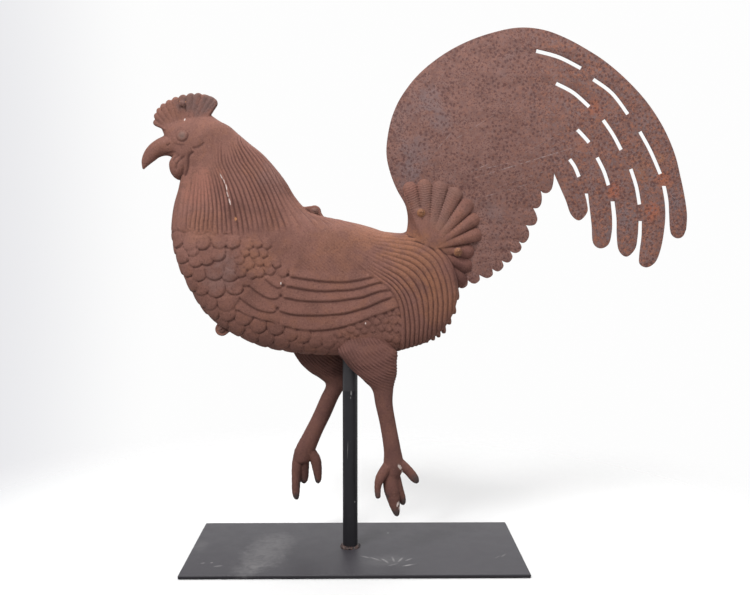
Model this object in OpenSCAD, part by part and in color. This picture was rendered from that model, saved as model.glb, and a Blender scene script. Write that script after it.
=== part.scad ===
// Full-bodied rooster weathervane on a display stand. The bird is two hollow cast-iron
// halves bolted together over a pierced sheet-iron tail, and it turns on a vertical
// spindle that stands in a pipe post on a steel plate.
//
// +Z is up, +X runs from the beak to the tail, and the parting plane of the castings
// is Y = 0. The origin lies on the turning axis, on the surface the plate stands on.

/* [Stand] */
// Length of the base plate along the bird
plate_l = 559; // [480:1:640]
// Width of the base plate
plate_w = 254; // [220:1:300]
// Thickness of the base plate
plate_t = 6.35; // [4:0.05:12]
// Corner radius of the base plate
plate_corner = 2; // [1:0.5:6]
// How far the plate's middle lies behind the turning axis
plate_shift = 9; // [0:1:20]
// Outside diameter of the pipe post
post_d = 25.4; // [22:0.1:32]
// Wall of the pipe post
post_wall = 3.2; // [2:0.1:4]
// Height of the post's top above the floor
post_top = 335; // [280:5:450]
// Leg of the fillet weld round the post's foot
weld_leg = 6; // [3:0.5:8]

/* [Pivot] */
// Diameter of the spindle rod
spindle_d = 12.7; // [11:0.1:13.5]
// Reach of the spindle above the post, to its domed tip
spindle_reach = 185; // [150:1:189]
// How deep the spindle and its plug sit in the post
plug_depth = 32; // [20:1:50]
// Thickness of the plug's head on top of the post
plug_head = 3; // [2:0.5:4]
// Outside diameter of the pivot tube between the castings
tube_d = 21.3; // [20.5:0.1:24]
// Bore of the pivot tube
tube_bore = 16; // [15:0.1:17]
// Length of the guide bush inside the tube
bush_l = 24; // [15:1:35]
// Running clearance all round between spindle and bush
running_clear = 0.08; // [0.04:0.01:0.1]
// Thickness of the thrust cap's end above the spindle tip
cap_end = 14; // [10:1:16]

/* [Castings] */
// Thickness of the cast wall
wall = 5; // [4:0.5:7]
// Width of the land where the two halves meet
rim = 9; // [7:0.5:11]
// Half the depth of the body at its widest station
body_half = 58; // [52:1:64]
// Gap between the mating faces of the halves
seam = 0.3; // [0.2:0.05:0.6]
// Height of the hackle ridges and the feather edges on the castings
feather_h = 1.6; // [0.5:0.1:2.5]
// How far each leg's middle stands from the parting plane
leg_stance = 38; // [37:0.5:44]

/* [Tail] */
// Thickness of the tail sheet
tail_t = 3.2; // [2:0.1:4.5]
// Width of the slots pierced between the tail feathers
slot_w = 6.5; // [4:0.5:8]
// Clearance between the sheet and the pockets cast for it
sheet_clear = 0.1; // [0.05:0.05:0.3]

/* [Fasteners] */
// Shank diameter of the body and tail bolts
bolt_d = 7.9; // [6:0.1:9]
// Shank diameter of the bolt through the comb
comb_bolt_d = 6.3; // [5:0.1:7]
// Clearance all round a bolt in its cast hole
hole_clear = 0.3; // [0.1:0.05:0.5]

/* [Hidden] */

cast_rust = "#6b4034";
sheet_rust = "#634a44";
painted = "#2c2d30";
bare_steel = "#8d8f92";
bronze = "#a8864a";

// How far unfinished solids reach past the parting plane before it trims them
past = 4;
// Reach of a cutting solid that clears the whole bird
far = 500;
// Clearance of a part that is clamped or pressed where it sits
snug = 0.02;

// Stations of the body from the crown of the head down the neck and along to the rump.
// Each is [front x, front z, back x, back z, share of the half depth, bulge to the tail].
body_rows = [
  [-314, 722, -231, 741, 0.16, 0],
  [-308, 707, -217, 731, 0.31, 0],
  [-302, 690, -200, 722, 0.41, 0],
  [-294, 670, -185, 709, 0.46, 0],
  [-282, 645, -166, 693, 0.49, 0],
  [-285, 620, -146, 677, 0.56, 0],
  [-293, 592, -126, 655, 0.66, 0],
  [-297, 562, -108, 631, 0.78, 0],
  [-295, 530, -92, 605, 0.88, 0],
  [-286, 492, -72, 584, 0.95, 0],
  [-268, 452, -44, 573, 0.99, 0],
  [-241, 411, -14, 567, 1.00, 0],
  [-203, 381, 14, 561, 0.99, 0],
  [-152, 357, 36, 555, 0.96, 0],
  [-98, 346, 54, 549, 0.92, 8],
  [-45, 343, 68, 547, 0.87, 24],
  [5, 345, 80, 546, 0.81, 48],
  [48, 348, 88, 546, 0.71, 74],
  [76, 352, 93, 548, 0.54, 90],
  [81, 352, 94, 548, 0.20, 95]
];
last_row = len(body_rows) - 1;
// Columns of faces across the body, and the exponent that rounds its cross-section
columns = 24;
roundness = 2.4;
// Stations where the hackle begins and ends and where the saddle feathers begin on the back,
// and how much further down the body they begin at the belly
hackle_from = 3;
hackle_to = 8.5;
saddle_from = 13.5;
saddle_slant = 2.6;
// Rows of faces per station on the head, on the neck and flanks and on the saddle
head_rows = 3;
flank_rows = 2;
saddle_rows = 5;
// Stations between which the castings are hollow
hollow_from = 1.2;
hollow_to = 17.3;

// Upper beak from inside the head to the hooked tip, its top edge first: the depths here
// are in mm
beak_rows = [
  [-292, 716, -290, 668, 17, 0],
  [-309, 706, -303, 673, 14, 0],
  [-321, 700, -315, 671, 11.5, 0],
  [-333, 691, -326, 664, 9, 0],
  [-342, 679, -334, 658, 6.5, 0],
  [-347, 665, -340, 653, 4, 0],
  [-346, 652, -343, 650, 1.5, 0]
];
// Wattle under the beak, from its root to its rounded end
wattle_rows = [
  [-293, 674, -266, 678, 15, 0],
  [-300, 662, -263, 664, 16, 0],
  [-299, 648, -267, 651, 15, 0],
  [-293, 638, -274, 641, 12, 0],
  [-286, 633, -281, 634, 5, 0]
];
// Outline of the comb from its front notch over the crest to the rear notch
comb_rim = [
  [-325, 723], [-323, 740], [-314, 754], [-299, 764], [-281, 771],
  [-260, 775], [-240, 774], [-224, 768], [-219, 759], [-226, 748]
];
comb_root = [[-306, 715], [-236, 733]];
comb_ribs = 14;
comb_serrated = 9;
comb_half = 6;

// Upper edge of the wing, and the lower edges of its lapped feathers from the top one down
wing_edges = [
  [[-98, 490], [-60, 484], [-20, 483], [14, 486], [46, 490]],
  [[-106, 474], [-60, 468], [-20, 466], [14, 468], [42, 474]],
  [[-124, 456], [-80, 454], [-30, 450], [16, 455], [56, 466]],
  [[-126, 438], [-80, 434], [-30, 433], [20, 440], [68, 452]],
  [[-134, 416], [-90, 411], [-40, 410], [16, 420], [74, 442]],
  [[-156, 404], [-104, 391], [-50, 385], [10, 398], [84, 426]]
];
// Height of a wing feather's edge in shares of the feather relief, faces along a feather,
// and how far each one runs in under the next above
wing_lift = 1.6;
wing_faces = 9;
wing_tuck = 2;
// Stations between which the wing lies, and the halvings that find its station
wing_from = 9;
wing_to = 18;
wing_search = 9;

// Leg of each half: [x, how far outside the stance, z, radius along, radius across]
leg_left_rows = [
  [26, 2, 366, 34, 15], [29, 1, 350, 49, 19], [35, 0, 333, 43, 20], [44, 0, 313, 34, 19],
  [51, 0, 297, 23, 16], [55, 0, 284, 17, 13.5], [57, 0, 261, 14.5, 12.5],
  [64, 0, 225, 13.5, 12], [71, 0, 184, 14.5, 12], [73, 0, 160, 17, 13], [71, 0, 143, 14, 11]
];
leg_right_rows = [
  [-40, 2, 366, 46, 15], [-42, 1, 345, 58, 19], [-41, 0, 323, 49, 20], [-36, 0, 307, 38, 19],
  [-28, 0, 293, 25, 16], [-25, 0, 281, 18, 14], [-36, 0, 260, 16, 12.5],
  [-51, 0, 226, 16, 12], [-66, 0, 196, 16.5, 12], [-78, 0, 170, 18, 13], [-84, 0, 150, 16, 11]
];
// Toes of each foot, each from inside the foot to its tip, in the same form
toes_left = [
  [[61, 4, 156, 8, 9], [51, 10, 138, 7, 7.5], [46, 12, 122, 6, 6.5], [46, 12, 104, 4, 4]],
  [[67, 0, 152, 9, 9], [66, 1, 125, 8.5, 8], [71, 2, 98, 8, 7.5], [79, 2, 70, 5, 5]],
  [[75, -4, 150, 8, 8], [78, -8, 122, 7.5, 7.5], [85, -10, 103, 7, 7], [90, -11, 89, 4.5, 4.5]],
  [[79, 0, 160, 8, 9], [92, 0, 152, 7.5, 8], [104, 0, 141, 7, 7], [113, 0, 129, 4.5, 4.5]]
];
toes_right = [
  [[-88, 5, 158, 8, 9], [-96, 8, 132, 7.5, 8], [-97, 9, 104, 7, 7], [-95, 9, 78, 4, 4]],
  [[-80, -2, 150, 8, 9], [-83, -4, 128, 7.5, 8], [-81, -6, 112, 6.5, 6.5], [-78, -6, 102, 4, 4]],
  [[-74, 0, 162, 8, 9], [-62, 0, 148, 7, 8], [-57, 0, 128, 6.5, 7], [-56, 0, 108, 4.5, 4.5]]
];

// Fan of tail coverts: the point its lobes spread from, and [angle, reach] of each lobe
fan_focus = [128, 517];
fan_lobes = [
  [105, 118], [92, 119], [78, 118], [63, 117], [48, 112], [32, 105], [19, 97],
  [-2, 81], [-22, 83], [-41, 88]
];
fan_depth = 24;
// Front edge of the fan's root, from the back up to the first lobe
fan_front = [[90, 535], [96, 553], [97, 574], [93, 594], [90, 612]];

// Bolts: [x, z, distance of the seat from the parting plane, shank diameter]
comb_bolt_at = [-276, 757, 8, comb_bolt_d];
back_bolt_at = [-59, 581, 10, bolt_d];
breast_bolt_at = [-215, 384, 10, bolt_d];
tail_upper_at = [118, 579, 21, bolt_d];
tail_lower_at = [180, 514, 20, bolt_d];

// Bosses and ears round the bolts, and the points where the ears run out on the body
comb_boss_r = 7;
tail_boss_r = 11;
breast_ear_r = 11.5;
breast_ear_roots = [[-185, 400], [-232, 412]];
back_ear_r = 10.5;
back_ear_roots = [[-40, 565], [-84, 588]];
// Heads, nuts and shanks in shares of the shank's diameter, and the shank past the nut
head_width = 1.9;
head_rise = 0.6;
nut_side = 1.7;
nut_thick = 0.8;
bolt_over = 3;
// Eye: its middle, how far it lies from the parting plane, and its radius
eye_at = [-280, 706];
eye_out = 17;
eye_r = 9.5;

// Outline of the tail sheet: the long front and crest curve, the five feather tips and
// the scalloped lower edge
tail_crest = [
  [92, 530], [96, 552], [98, 573], [92, 594], [78, 619], [67, 647], [61, 676], [63, 707],
  [71, 741], [87, 774], [116, 810], [157, 842], [202, 865], [250, 880], [286, 885],
  [322, 881], [356, 869], [391, 851], [426, 829], [462, 799], [496, 763], [524, 722],
  [544, 679], [555, 640], [563, 606], [568, 577], [567, 553]
];
// Each feather from its outer edge round its tip to the slot on its inner side
tail_feathers = [
  [[567, 553], [562, 541], [553, 537], [544, 542], [540, 553], [538, 578], [536, 602], [531, 625]],
  [[524, 625], [529, 600], [531, 575], [529, 545], [524, 517], [516, 497], [502, 488],
    [490, 494], [489, 510], [492, 540], [492, 566]],
  [[486, 566], [485, 540], [481, 519], [467, 506], [454, 517], [450, 542], [449, 570], [445, 599]],
  [[438, 599], [441, 572], [441, 548], [436, 527], [422, 520], [410, 530], [407, 560], [400, 612]],
  [[394, 612], [398, 597], [399, 581], [386, 567], [372, 577], [363, 600], [353, 622], [342, 646]]
];
// Notches between the scallops, from the inner feather back to the castings
tail_notches = [
  [342, 646], [319, 616], [308, 587], [298, 557], [284, 531], [270, 514], [256, 499],
  [239, 484], [218, 475], [199, 466], [181, 457]
];
// How far each scallop bulges past its notches
scallop_rise = 7;
// Root of the sheet, clamped between the castings, the room round it in its pocket, and the
// pocket's corners clear of the castings
tail_root = [[166, 447], [142, 462], [120, 486], [100, 512]];
root_room = 1.5;
pocket_rim = [[84, 524], [84, 700], [300, 700], [300, 440], [168, 440]];
// Middle lines of the slots between the feathers
tail_slots = [
  [[309, 847], [347, 837], [384, 819]],
  [[405, 801], [437, 778], [464, 744]],
  [[485, 715], [504, 682], [521, 645]],
  [[343, 794], [372, 779], [399, 756]],
  [[423, 734], [440, 710], [454, 685]],
  [[471, 653], [481, 624], [487, 594]],
  [[380, 718], [390, 708], [400, 697]],
  [[414, 672], [426, 649], [434, 626]],
  [[368, 669], [377, 656], [384, 640]]
];

// Height of the post's top for which the tables of the bird are drawn; a post of another
// height carries the bird with it
drawn_post_top = 335;
lift = post_top - drawn_post_top;

// Pivot: the flange of the guide bush runs just above the plug's head, and the spindle's
// tip carries the thrust cap
flange_gap = 0.5;
bush_flange = 2.5;
tube_bottom = drawn_post_top + plug_head + flange_gap + bush_flange;
spindle_tip = drawn_post_top + spindle_reach;
cap_gap = 0.3;
tube_top = spindle_tip + cap_gap + cap_end;
// Saddles inside the castings that hold the tube at the belly and under the back: the iron
// round the tube, and the length of tube that each one grips
saddle_iron = 8;
belly_grip = 25;
back_grip = 22;

// Point of a smooth curve through the rows of a table, at station s counted from 0
function spline(rows, s) =
  let (
    n = len(rows) - 1,
    i = max(0, min(floor(s), n - 1)),
    t = s - i,
    a = rows[max(i - 1, 0)],
    b = rows[i],
    c = rows[i + 1],
    d = rows[min(i + 2, n)]
  )
  0.5 * (2 * b + t * (c - a) + t * t * (2 * a - 5 * b + 4 * c - d)
    + t * t * t * (3 * b - a - 3 * c + d));

// Points of such a curve, with the given number of steps between rows
function curve(rows, steps) =
  [for (k = [0 : steps * (len(rows) - 1)]) spline(rows, k / steps)];

// Share of the depth at column angle u, 0 at the parting plane and 1 in the middle
function crown(u, power) = pow(max(0, 1 - pow(abs(cos(u)), power)), 1 / power);

// Smooth step from 0 at a to 1 at b
function ramp(a, b, x) = let (t = max(0, min(1, (x - a) / (b - a)))) t * t * (3 - 2 * t);

// Point (x, z) of a body station at column angle u
function row_point(row, u) =
  let (
    front = [row[0], row[1]],
    chord = [row[2], row[3]] - front,
    side = [chord.y, -chord.x] / norm(chord)
  )
  front + chord * (1 - cos(u)) / 2 + side * row[5] * sin(u);

// Ring of one casting half: an arc from front to back that bulges away from the parting
// plane, closed by a straight line behind that plane
function half_ring(row, depth, cols, power, relief) =
  [
    for (j = [0 : cols])
      let (u = 180 * j / cols, p = row_point(row, u), h = crown(u, power))
        [p.x, -h * (depth + relief[j]), p.y],
    [row[2], past, row[3]],
    [row[0], past, row[1]]
  ];

// Height of the feather relief at station s and column j: hackle ridges down the neck, plain
// flanks, and the laps of the saddle feathers
function relief_at(s, j) =
  s < hackle_from ? 0
    : s < hackle_to ? feather_h * (j % 2 * ramp(hackle_from, hackle_from + 1, s)
      + 1.5 * ramp(hackle_from, hackle_to, s))
    : s < saddle_from + saddle_slant * (1 - j / columns) ? 0
    : feather_h * (round((s - saddle_from) * saddle_rows) % 2);

// Solid through rings that all have as many points, with a fan of faces at each end
module skin(rings) {
  n = len(rings[0]);
  m = len(rings);
  points = [for (ring = rings) each ring];
  sides = [
    for (i = [0 : m - 2], j = [0 : n - 1])
      let (a = i * n + j, b = i * n + (j + 1) % n)
        each [[a, b, b + n], [a, b + n, a + n]]
  ];
  first_end = [for (j = [0 : n - 3]) [n - 1, j + 1, j]];
  last_end = [for (j = [0 : n - 3]) [m * n - 1, (m - 1) * n + j, (m - 1) * n + j + 1]];
  polyhedron(points, concat(sides, first_end, last_end));
}

// Rounded limb along rows of [x, offset across, z, radius along, radius across], its rings
// level or square to the limb
module limb(rows, stance, sides, level) {
  m = len(rows) - 1;
  rings = [
    for (i = [0 : m])
      let (
        a = rows[max(i - 1, 0)],
        b = rows[min(i + 1, m)],
        along = level ? [0, -1] : [b[0] - a[0], b[2] - a[2]],
        nx = -along.y / norm(along),
        nz = along.x / norm(along),
        r = rows[i]
      )
      [
        for (j = [0 : sides - 1])
          let (u = 360 * j / sides)
            [
              r[0] + nx * r[3] * cos(u),
              -(stance + r[1]) + r[4] * sin(u),
              r[2] + nz * r[3] * cos(u)
            ]
      ]
  ];
  skin(rings);
}

// Height of the casting over the parting plane at a point (x, z) of the flank. The stations
// between low and high are halved until the one that passes through the point is found.
function flank_height(p, low = wing_from, high = wing_to, turns = wing_search) =
  let (
    row = spline(body_rows, (low + high) / 2),
    front = [row[0], row[1]],
    chord = [row[2], row[3]] - front,
    side = [chord.y, -chord.x] / norm(chord),
    share = max(0, min(1, (p - front) * chord / (chord * chord))),
    u = acos(1 - 2 * share)
  )
  turns == 0 ? crown(u, roundness) * row[4] * body_half
    : (p - front) * side > row[5] * sin(u)
      ? flank_height(p, (low + high) / 2, high, turns - 1)
    : flank_height(p, low, (low + high) / 2, turns - 1);

// Plain half form through a table of stations, its depths given in mm
module half_form(rows, cols, steps) {
  flat = [for (j = [0 : cols]) 0];
  skin([for (row = curve(rows, steps)) half_ring(row, row[4], cols, 2, flat)]);
}

// Outside of a hollow half, with the relief of its feathers
module body_outside() {
  stations = [
    for (k = [0 : head_rows * hackle_from - 1]) k / head_rows,
    for (k = [0 : flank_rows * (saddle_from - hackle_from) - 1]) hackle_from + k / flank_rows,
    for (k = [0 : saddle_rows * (last_row - saddle_from)]) saddle_from + k / saddle_rows
  ];
  rings = [
    for (s = stations)
      let (row = spline(body_rows, s))
        half_ring(row, row[4] * body_half, columns, roundness,
          [for (j = [0 : columns]) relief_at(s, j)])
  ];
  rump = spline(body_rows, last_row);
  closing = [
    for (j = [0 : columns])
      let (p = row_point(rump, 180 * j / columns)) [p.x, past + 1, p.y]
  ];
  chord = [for (k = [2, 1]) [rump[0] + (rump[2] - rump[0]) * k / 3, past + 1,
    rump[1] + (rump[3] - rump[1]) * k / 3]];
  skin(concat(rings, [concat(closing, chord)]));
}

// Wing of a half: long feathers along the flank, each lapped by the one above, so that the
// lower edge of each stands proud
module wing() {
  proud = wing_lift * feather_h;
  outside = function(p, rise) [p.x, -flank_height(p) - rise, p.y];
  for (k = [1 : len(wing_edges) - 1])
    skin([
      for (i = [0 : wing_faces])
        let (
          t = i / wing_faces,
          s = t * (len(wing_edges[k]) - 1),
          low = spline(wing_edges[k], s),
          top = spline(wing_edges[k - 1], s) + [0, wing_tuck],
          swell = proud * ramp(-0.2, 0.25, t) * ramp(-0.1, 0.2, 1 - t)
        )
        [
          outside(low, swell), outside((low + top) / 2, 0.7 * swell), outside(top, 0),
          outside(top, -wall / 2), outside(low, -wall / 2)
        ]
    ]);
}

// Space inside a half: the same stations drawn in by the wall and the mating land
module body_inside() {
  cols = 10;
  flat = [for (j = [0 : cols]) 0];
  count = 14;
  skin([
    for (k = [0 : count])
      let (
        row = spline(body_rows, hollow_from + (hollow_to - hollow_from) * k / count),
        front = [row[0], row[1]],
        back = [row[2], row[3]],
        in = (back - front) * rim / norm(back - front)
      )
      half_ring([front.x + in.x, front.y + in.y, back.x - in.x, back.y - in.y, 0, row[5]],
        row[4] * body_half - wall, cols, 2, flat)
  ]);
}

// Half of the comb: ribs that fan from its root to a rim with serrations at the front
module comb_form() {
  last = 2 * comb_ribs;
  skin([
    for (k = [0 : last])
      let (
        t = k / last,
        root = comb_root[0] + (comb_root[1] - comb_root[0]) * t,
        rim_at = spline(comb_rim, t * (len(comb_rim) - 1)),
        rib = k % 2,
        tooth = k < 2 * comb_serrated ? 1.5 * (1 - rib) : 0,
        tip = rim_at + (root - rim_at) * tooth / norm(root - rim_at),
        mid = (root + tip) / 2
      )
      [
        [root.x, -comb_half - 3, root.y],
        [mid.x, -comb_half - 0.8 * rib * feather_h, mid.y],
        [tip.x, -comb_half / 2, tip.y],
        [tip.x, past, tip.y],
        [root.x, past, root.y]
      ]
  ]);
}

// Half of the fan of tail coverts: one rounded lobe after another round its focus
module fan_form() {
  last = len(fan_lobes) - 1;
  steps = 4;
  function edge(k) =
    k == 0 ? 1.5 * fan_lobes[0] - 0.5 * fan_lobes[1]
      : k > last ? 1.5 * fan_lobes[last] - 0.5 * fan_lobes[last - 1]
      : 0.5 * (fan_lobes[k - 1] + fan_lobes[k]);
  skin([
    for (k = [0 : last], i = [0 : steps - (k == last ? 0 : 1)])
      let (
        t = i / steps,
        angle = edge(k)[0] + (edge(k + 1)[0] - edge(k)[0]) * t,
        round_end = sin(180 * t),
        reach = fan_lobes[k][1] - 9 * (1 - sqrt(round_end)),
        swell = 2.2 * feather_h * round_end,
        dir = [cos(angle), sin(angle)],
        at = function(r, y) [fan_focus.x + r * dir.x, y, fan_focus.y + r * dir.y]
      )
      [
        at(12, -fan_depth), at(0.6 * reach, -0.6 * fan_depth - swell),
        at(reach - 6, -6 - 0.7 * swell), at(reach, -3.5), at(reach, past), at(12, past)
      ]
  ]);
}

// Smooth root in front of the fan's first lobe, down to the back
module fan_root() {
  skin([
    for (rim_at = curve(fan_front, 2))
      let (mid = (fan_focus + rim_at) / 2)
      [
        [fan_focus.x, -fan_depth, fan_focus.y],
        [mid.x, -0.62 * fan_depth, mid.y],
        [rim_at.x, -5, rim_at.y],
        [rim_at.x, past, rim_at.y],
        [fan_focus.x, past, fan_focus.y]
      ]
  ]);
}

// Round boss under the head or nut of a bolt
module boss(bolt, r) {
  translate([bolt[0], past, bolt[1]])
    rotate([90, 0, 0])
      cylinder(r = r, h = bolt[2] + past, $fn = 32);
}

// Ear at the parting line that carries a bolt, run out to two roots on the body
module ear(bolt, r, roots) {
  at = [bolt[0], bolt[1]];
  axis = at - (roots[0] + roots[1]) / 2;
  lean = atan2(axis.y, axis.x);
  translate([0, past, 0])
    rotate([90, 0, 0])
      linear_extrude(bolt[2] + past)
        union() {
          translate(at) circle(r = r, $fn = 32);
          polygon(concat([for (u = [lean + 60, lean - 60]) at + r * [cos(u), sin(u)]],
            roots));
        }
}

// Hole through a half for one of the bolts
module bolt_hole(bolt) {
  translate([bolt[0], 2 * past, bolt[1]])
    rotate([90, 0, 0])
      cylinder(d = bolt[3] + 2 * hole_clear, h = bolt[2] + body_half, $fn = 32);
}

// Spot face that gives a head or a nut a flat seat on its ear
module spot_face(bolt, r) {
  translate([bolt[0], -bolt[2], bolt[1]])
    rotate([90, 0, 0])
      cylinder(r = r, h = body_half, $fn = 32);
}

// Blocks left in the hollow of a half to hold the pivot tube: one that stands on the belly,
// and one that hangs from the back
module tube_saddles() {
  depth = tube_d / 2 + saddle_iron;
  for (block = [[tube_bottom + belly_grip - far, far], [tube_top - back_grip, far]])
    translate([-depth, -depth, block[0]])
      cube([2 * depth, depth + 4 * past, block[1]]);
}

// One casting, as it lies on the near side of the parting plane
module casting(leg, toes) {
  difference() {
    union() {
      body_outside();
      wing();
      comb_form();
      half_form(beak_rows, 6, 2);
      half_form(wattle_rows, 6, 2);
      translate([eye_at.x, -eye_out, eye_at.y]) sphere(r = eye_r, $fn = 32);
      fan_form();
      fan_root();
      ear(breast_bolt_at, breast_ear_r, breast_ear_roots);
      ear(back_bolt_at, back_ear_r, back_ear_roots);
      boss(comb_bolt_at, comb_boss_r);
      boss(tail_upper_at, tail_boss_r);
      boss(tail_lower_at, tail_boss_r);
      limb(curve(leg, 2), leg_stance, 14, true);
      for (toe = toes) limb(toe, leg_stance, 8, false);
    }
    difference() {
      body_inside();
      tube_saddles();
    }
    translate([-far, -seam / 2, -far]) cube([2 * far, far, 3 * far]);
    translate([0, 0, tube_bottom - body_half])
      cylinder(d = tube_d + 2 * snug, h = tube_top - tube_bottom + body_half + snug, $fn = 48);
    tail_pocket();
    spot_face(breast_bolt_at, breast_ear_r);
    spot_face(back_bolt_at, back_ear_r);
    for (bolt = [comb_bolt_at, back_bolt_at, breast_bolt_at, tail_upper_at, tail_lower_at])
      bolt_hole(bolt);
  }
}

module body_half_left() {
  color(cast_rust) translate([0, 0, lift]) casting(leg_left_rows, toes_left);
}

module body_half_right() {
  color(cast_rust)
    translate([0, 0, lift]) mirror([0, 1, 0]) casting(leg_right_rows, toes_right);
}

// Pocket in a half for the root of the tail sheet
module tail_pocket() {
  depth = tail_t / 2 + sheet_clear;
  translate([0, depth, 0])
    rotate([90, 0, 0])
      linear_extrude(2 * depth)
        polygon(concat([for (p = tail_root) p - [root_room, root_room]], pocket_rim));
}

// Rounded scallop from notch a to notch b
function scallop(a, b) =
  let (chord = b - a, out = [-chord.y, chord.x] / norm(chord))
    [
      for (k = [0 : 5])
        let (u = 30 * k) a + chord * (1 - cos(u)) / 2 + out * scallop_rise * crown(u, 2.5)
    ];

// One slot of constant width along a smooth middle line
module slot_shape(line) {
  mid = curve(line, 4);
  last = len(mid) - 1;
  side = function(k, way)
    let (t = mid[min(k + 1, last)] - mid[max(k - 1, 0)])
      mid[k] + [-t.y, t.x] / norm(t) * way * slot_w / 2;
  polygon(concat([for (k = [0 : last]) side(k, 1)], [for (k = [last : -1 : 0]) side(k, -1)]));
}

module tail_outline() {
  feathers = [for (feather = tail_feathers) each curve(feather, 2)];
  scallops = [
    for (k = [0 : len(tail_notches) - 2]) each scallop(tail_notches[k], tail_notches[k + 1])
  ];
  crest_end = 2 * (len(tail_crest) - 1) - 1;
  crest = [for (k = [0 : crest_end]) spline(tail_crest, k / 2)];
  polygon(concat(crest, feathers, [for (k = [1 : len(scallops) - 1]) scallops[k]], tail_root));
}

module tail_plate() {
  color(sheet_rust)
    translate([0, 0, lift])
    difference() {
      translate([0, tail_t / 2, 0])
        rotate([90, 0, 0])
          linear_extrude(tail_t)
            difference() {
              tail_outline();
              for (line = tail_slots) slot_shape(line);
            }
      for (bolt = [tail_upper_at, tail_lower_at])
        bolt_hole(bolt);
    }
}

module base_plate() {
  color(painted)
    translate([plate_shift, 0, 0])
      linear_extrude(plate_t)
        union() {
          square([plate_l - 2 * plate_corner, plate_w], center = true);
          square([plate_l, plate_w - 2 * plate_corner], center = true);
          for (x = [-1, 1], y = [-1, 1])
            translate([x * (plate_l / 2 - plate_corner), y * (plate_w / 2 - plate_corner)])
              circle(r = plate_corner, $fn = 24);
        }
}

module stand_post() {
  color(painted)
    translate([0, 0, plate_t])
      difference() {
        cylinder(d = post_d, h = post_top - plate_t, $fn = 64);
        translate([0, 0, -1]) cylinder(d = post_d - 2 * post_wall, h = post_top, $fn = 64);
      }
}

module post_weld() {
  color(painted)
    translate([0, 0, plate_t])
      rotate_extrude($fn = 64)
        polygon([
          [post_d / 2, 0], [post_d / 2 + weld_leg, 0],
          [post_d / 2 + 0.55 * weld_leg, 0.5 * weld_leg], [post_d / 2, weld_leg]
        ]);
}

module spindle_plug() {
  color(bare_steel)
    difference() {
      union() {
        translate([0, 0, post_top - plug_depth])
          cylinder(d = post_d - 2 * post_wall - 2 * snug, h = plug_depth, $fn = 48);
        translate([0, 0, post_top]) cylinder(d = post_d - 2, h = plug_head, $fn = 48);
      }
      translate([0, 0, post_top - plug_depth - 1])
        cylinder(d = spindle_d + 2 * snug, h = plug_depth + plug_head + 2, $fn = 48);
    }
}

module pivot_spindle() {
  r = spindle_d / 2;
  foot = post_top - plug_depth;
  dome = post_top + spindle_reach - r;
  color(bare_steel)
    rotate_extrude($fn = 48)
      union() {
        translate([0, foot]) square([r, dome - foot]);
        intersection() {
          translate([0, dome]) circle(r = r, $fn = 48);
          translate([0, dome]) square([r, r]);
        }
      }
}

module pivot_tube() {
  color(bare_steel)
    translate([0, 0, lift + tube_bottom])
      difference() {
        cylinder(d = tube_d, h = tube_top - tube_bottom, $fn = 48);
        translate([0, 0, -1]) cylinder(d = tube_bore, h = tube_top - tube_bottom + 2, $fn = 48);
      }
}

// Bronze cap in the top of the tube, with a cup for the spindle's tip
module thrust_cap() {
  seat = spindle_tip - spindle_d / 2;
  color(bronze)
    translate([0, 0, lift + seat])
      difference() {
        cylinder(d = tube_bore - 2 * snug, h = tube_top - seat, $fn = 48);
        sphere(r = spindle_d / 2 + cap_gap, $fn = 48);
      }
}

// Flanged guide bush in the foot of the tube
module belly_bush() {
  color(bronze)
    translate([0, 0, lift + tube_bottom])
      difference() {
        union() {
          cylinder(d = tube_bore - 2 * snug, h = bush_l, $fn = 48);
          translate([0, 0, -bush_flange]) cylinder(d = tube_d, h = bush_flange, $fn = 48);
        }
        translate([0, 0, -bush_flange - 1])
          cylinder(d = spindle_d + 2 * running_clear, h = bush_l + bush_flange + 2, $fn = 48);
      }
}

// Round-headed bolt from the near side, its shank through both castings
module bolt(at) {
  head_r = at[3] * head_width / 2;
  head_h = at[3] * head_rise;
  below = 2 * at[2] + at[3] * nut_thick + bolt_over;
  dome_r = (head_r * head_r + head_h * head_h) / (2 * head_h);
  color(cast_rust)
    translate([at[0], -at[2], at[1] + lift])
      rotate([90, 0, 0])
        union() {
          rotate_extrude($fn = 32)
            intersection() {
              translate([0, head_h - dome_r]) circle(r = dome_r, $fn = 64);
              square([head_r, head_h]);
            }
          translate([0, 0, -below]) cylinder(d = at[3], h = below + head_h / 2, $fn = 32);
        }
}

// Square nut on the far side
module nut(at) {
  side = at[3] * nut_side;
  nut_h = at[3] * nut_thick;
  color(cast_rust)
    translate([at[0], at[2], at[1] + lift])
      rotate([-90, 0, 0])
        difference() {
          translate([-side / 2, -side / 2, 0]) cube([side, side, nut_h]);
          translate([0, 0, -1]) cylinder(d = at[3] + 2 * snug, h = nut_h + 2, $fn = 32);
        }
}

module comb_bolt() bolt(comb_bolt_at);
module comb_nut() nut(comb_bolt_at);
module back_bolt() bolt(back_bolt_at);
module back_nut() nut(back_bolt_at);
module breast_bolt() bolt(breast_bolt_at);
module breast_nut() nut(breast_bolt_at);
module tail_bolt_upper() bolt(tail_upper_at);
module tail_nut_upper() nut(tail_upper_at);
module tail_bolt_lower() bolt(tail_lower_at);
module tail_nut_lower() nut(tail_lower_at);

base_plate();
post_weld();
stand_post();
spindle_plug();
pivot_spindle();
body_half_left();
body_half_right();
tail_plate();
pivot_tube();
thrust_cap();
belly_bush();
comb_bolt();
comb_nut();
back_bolt();
back_nut();
breast_bolt();
breast_nut();
tail_bolt_upper();
tail_nut_upper();
tail_bolt_lower();
tail_nut_lower();
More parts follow.
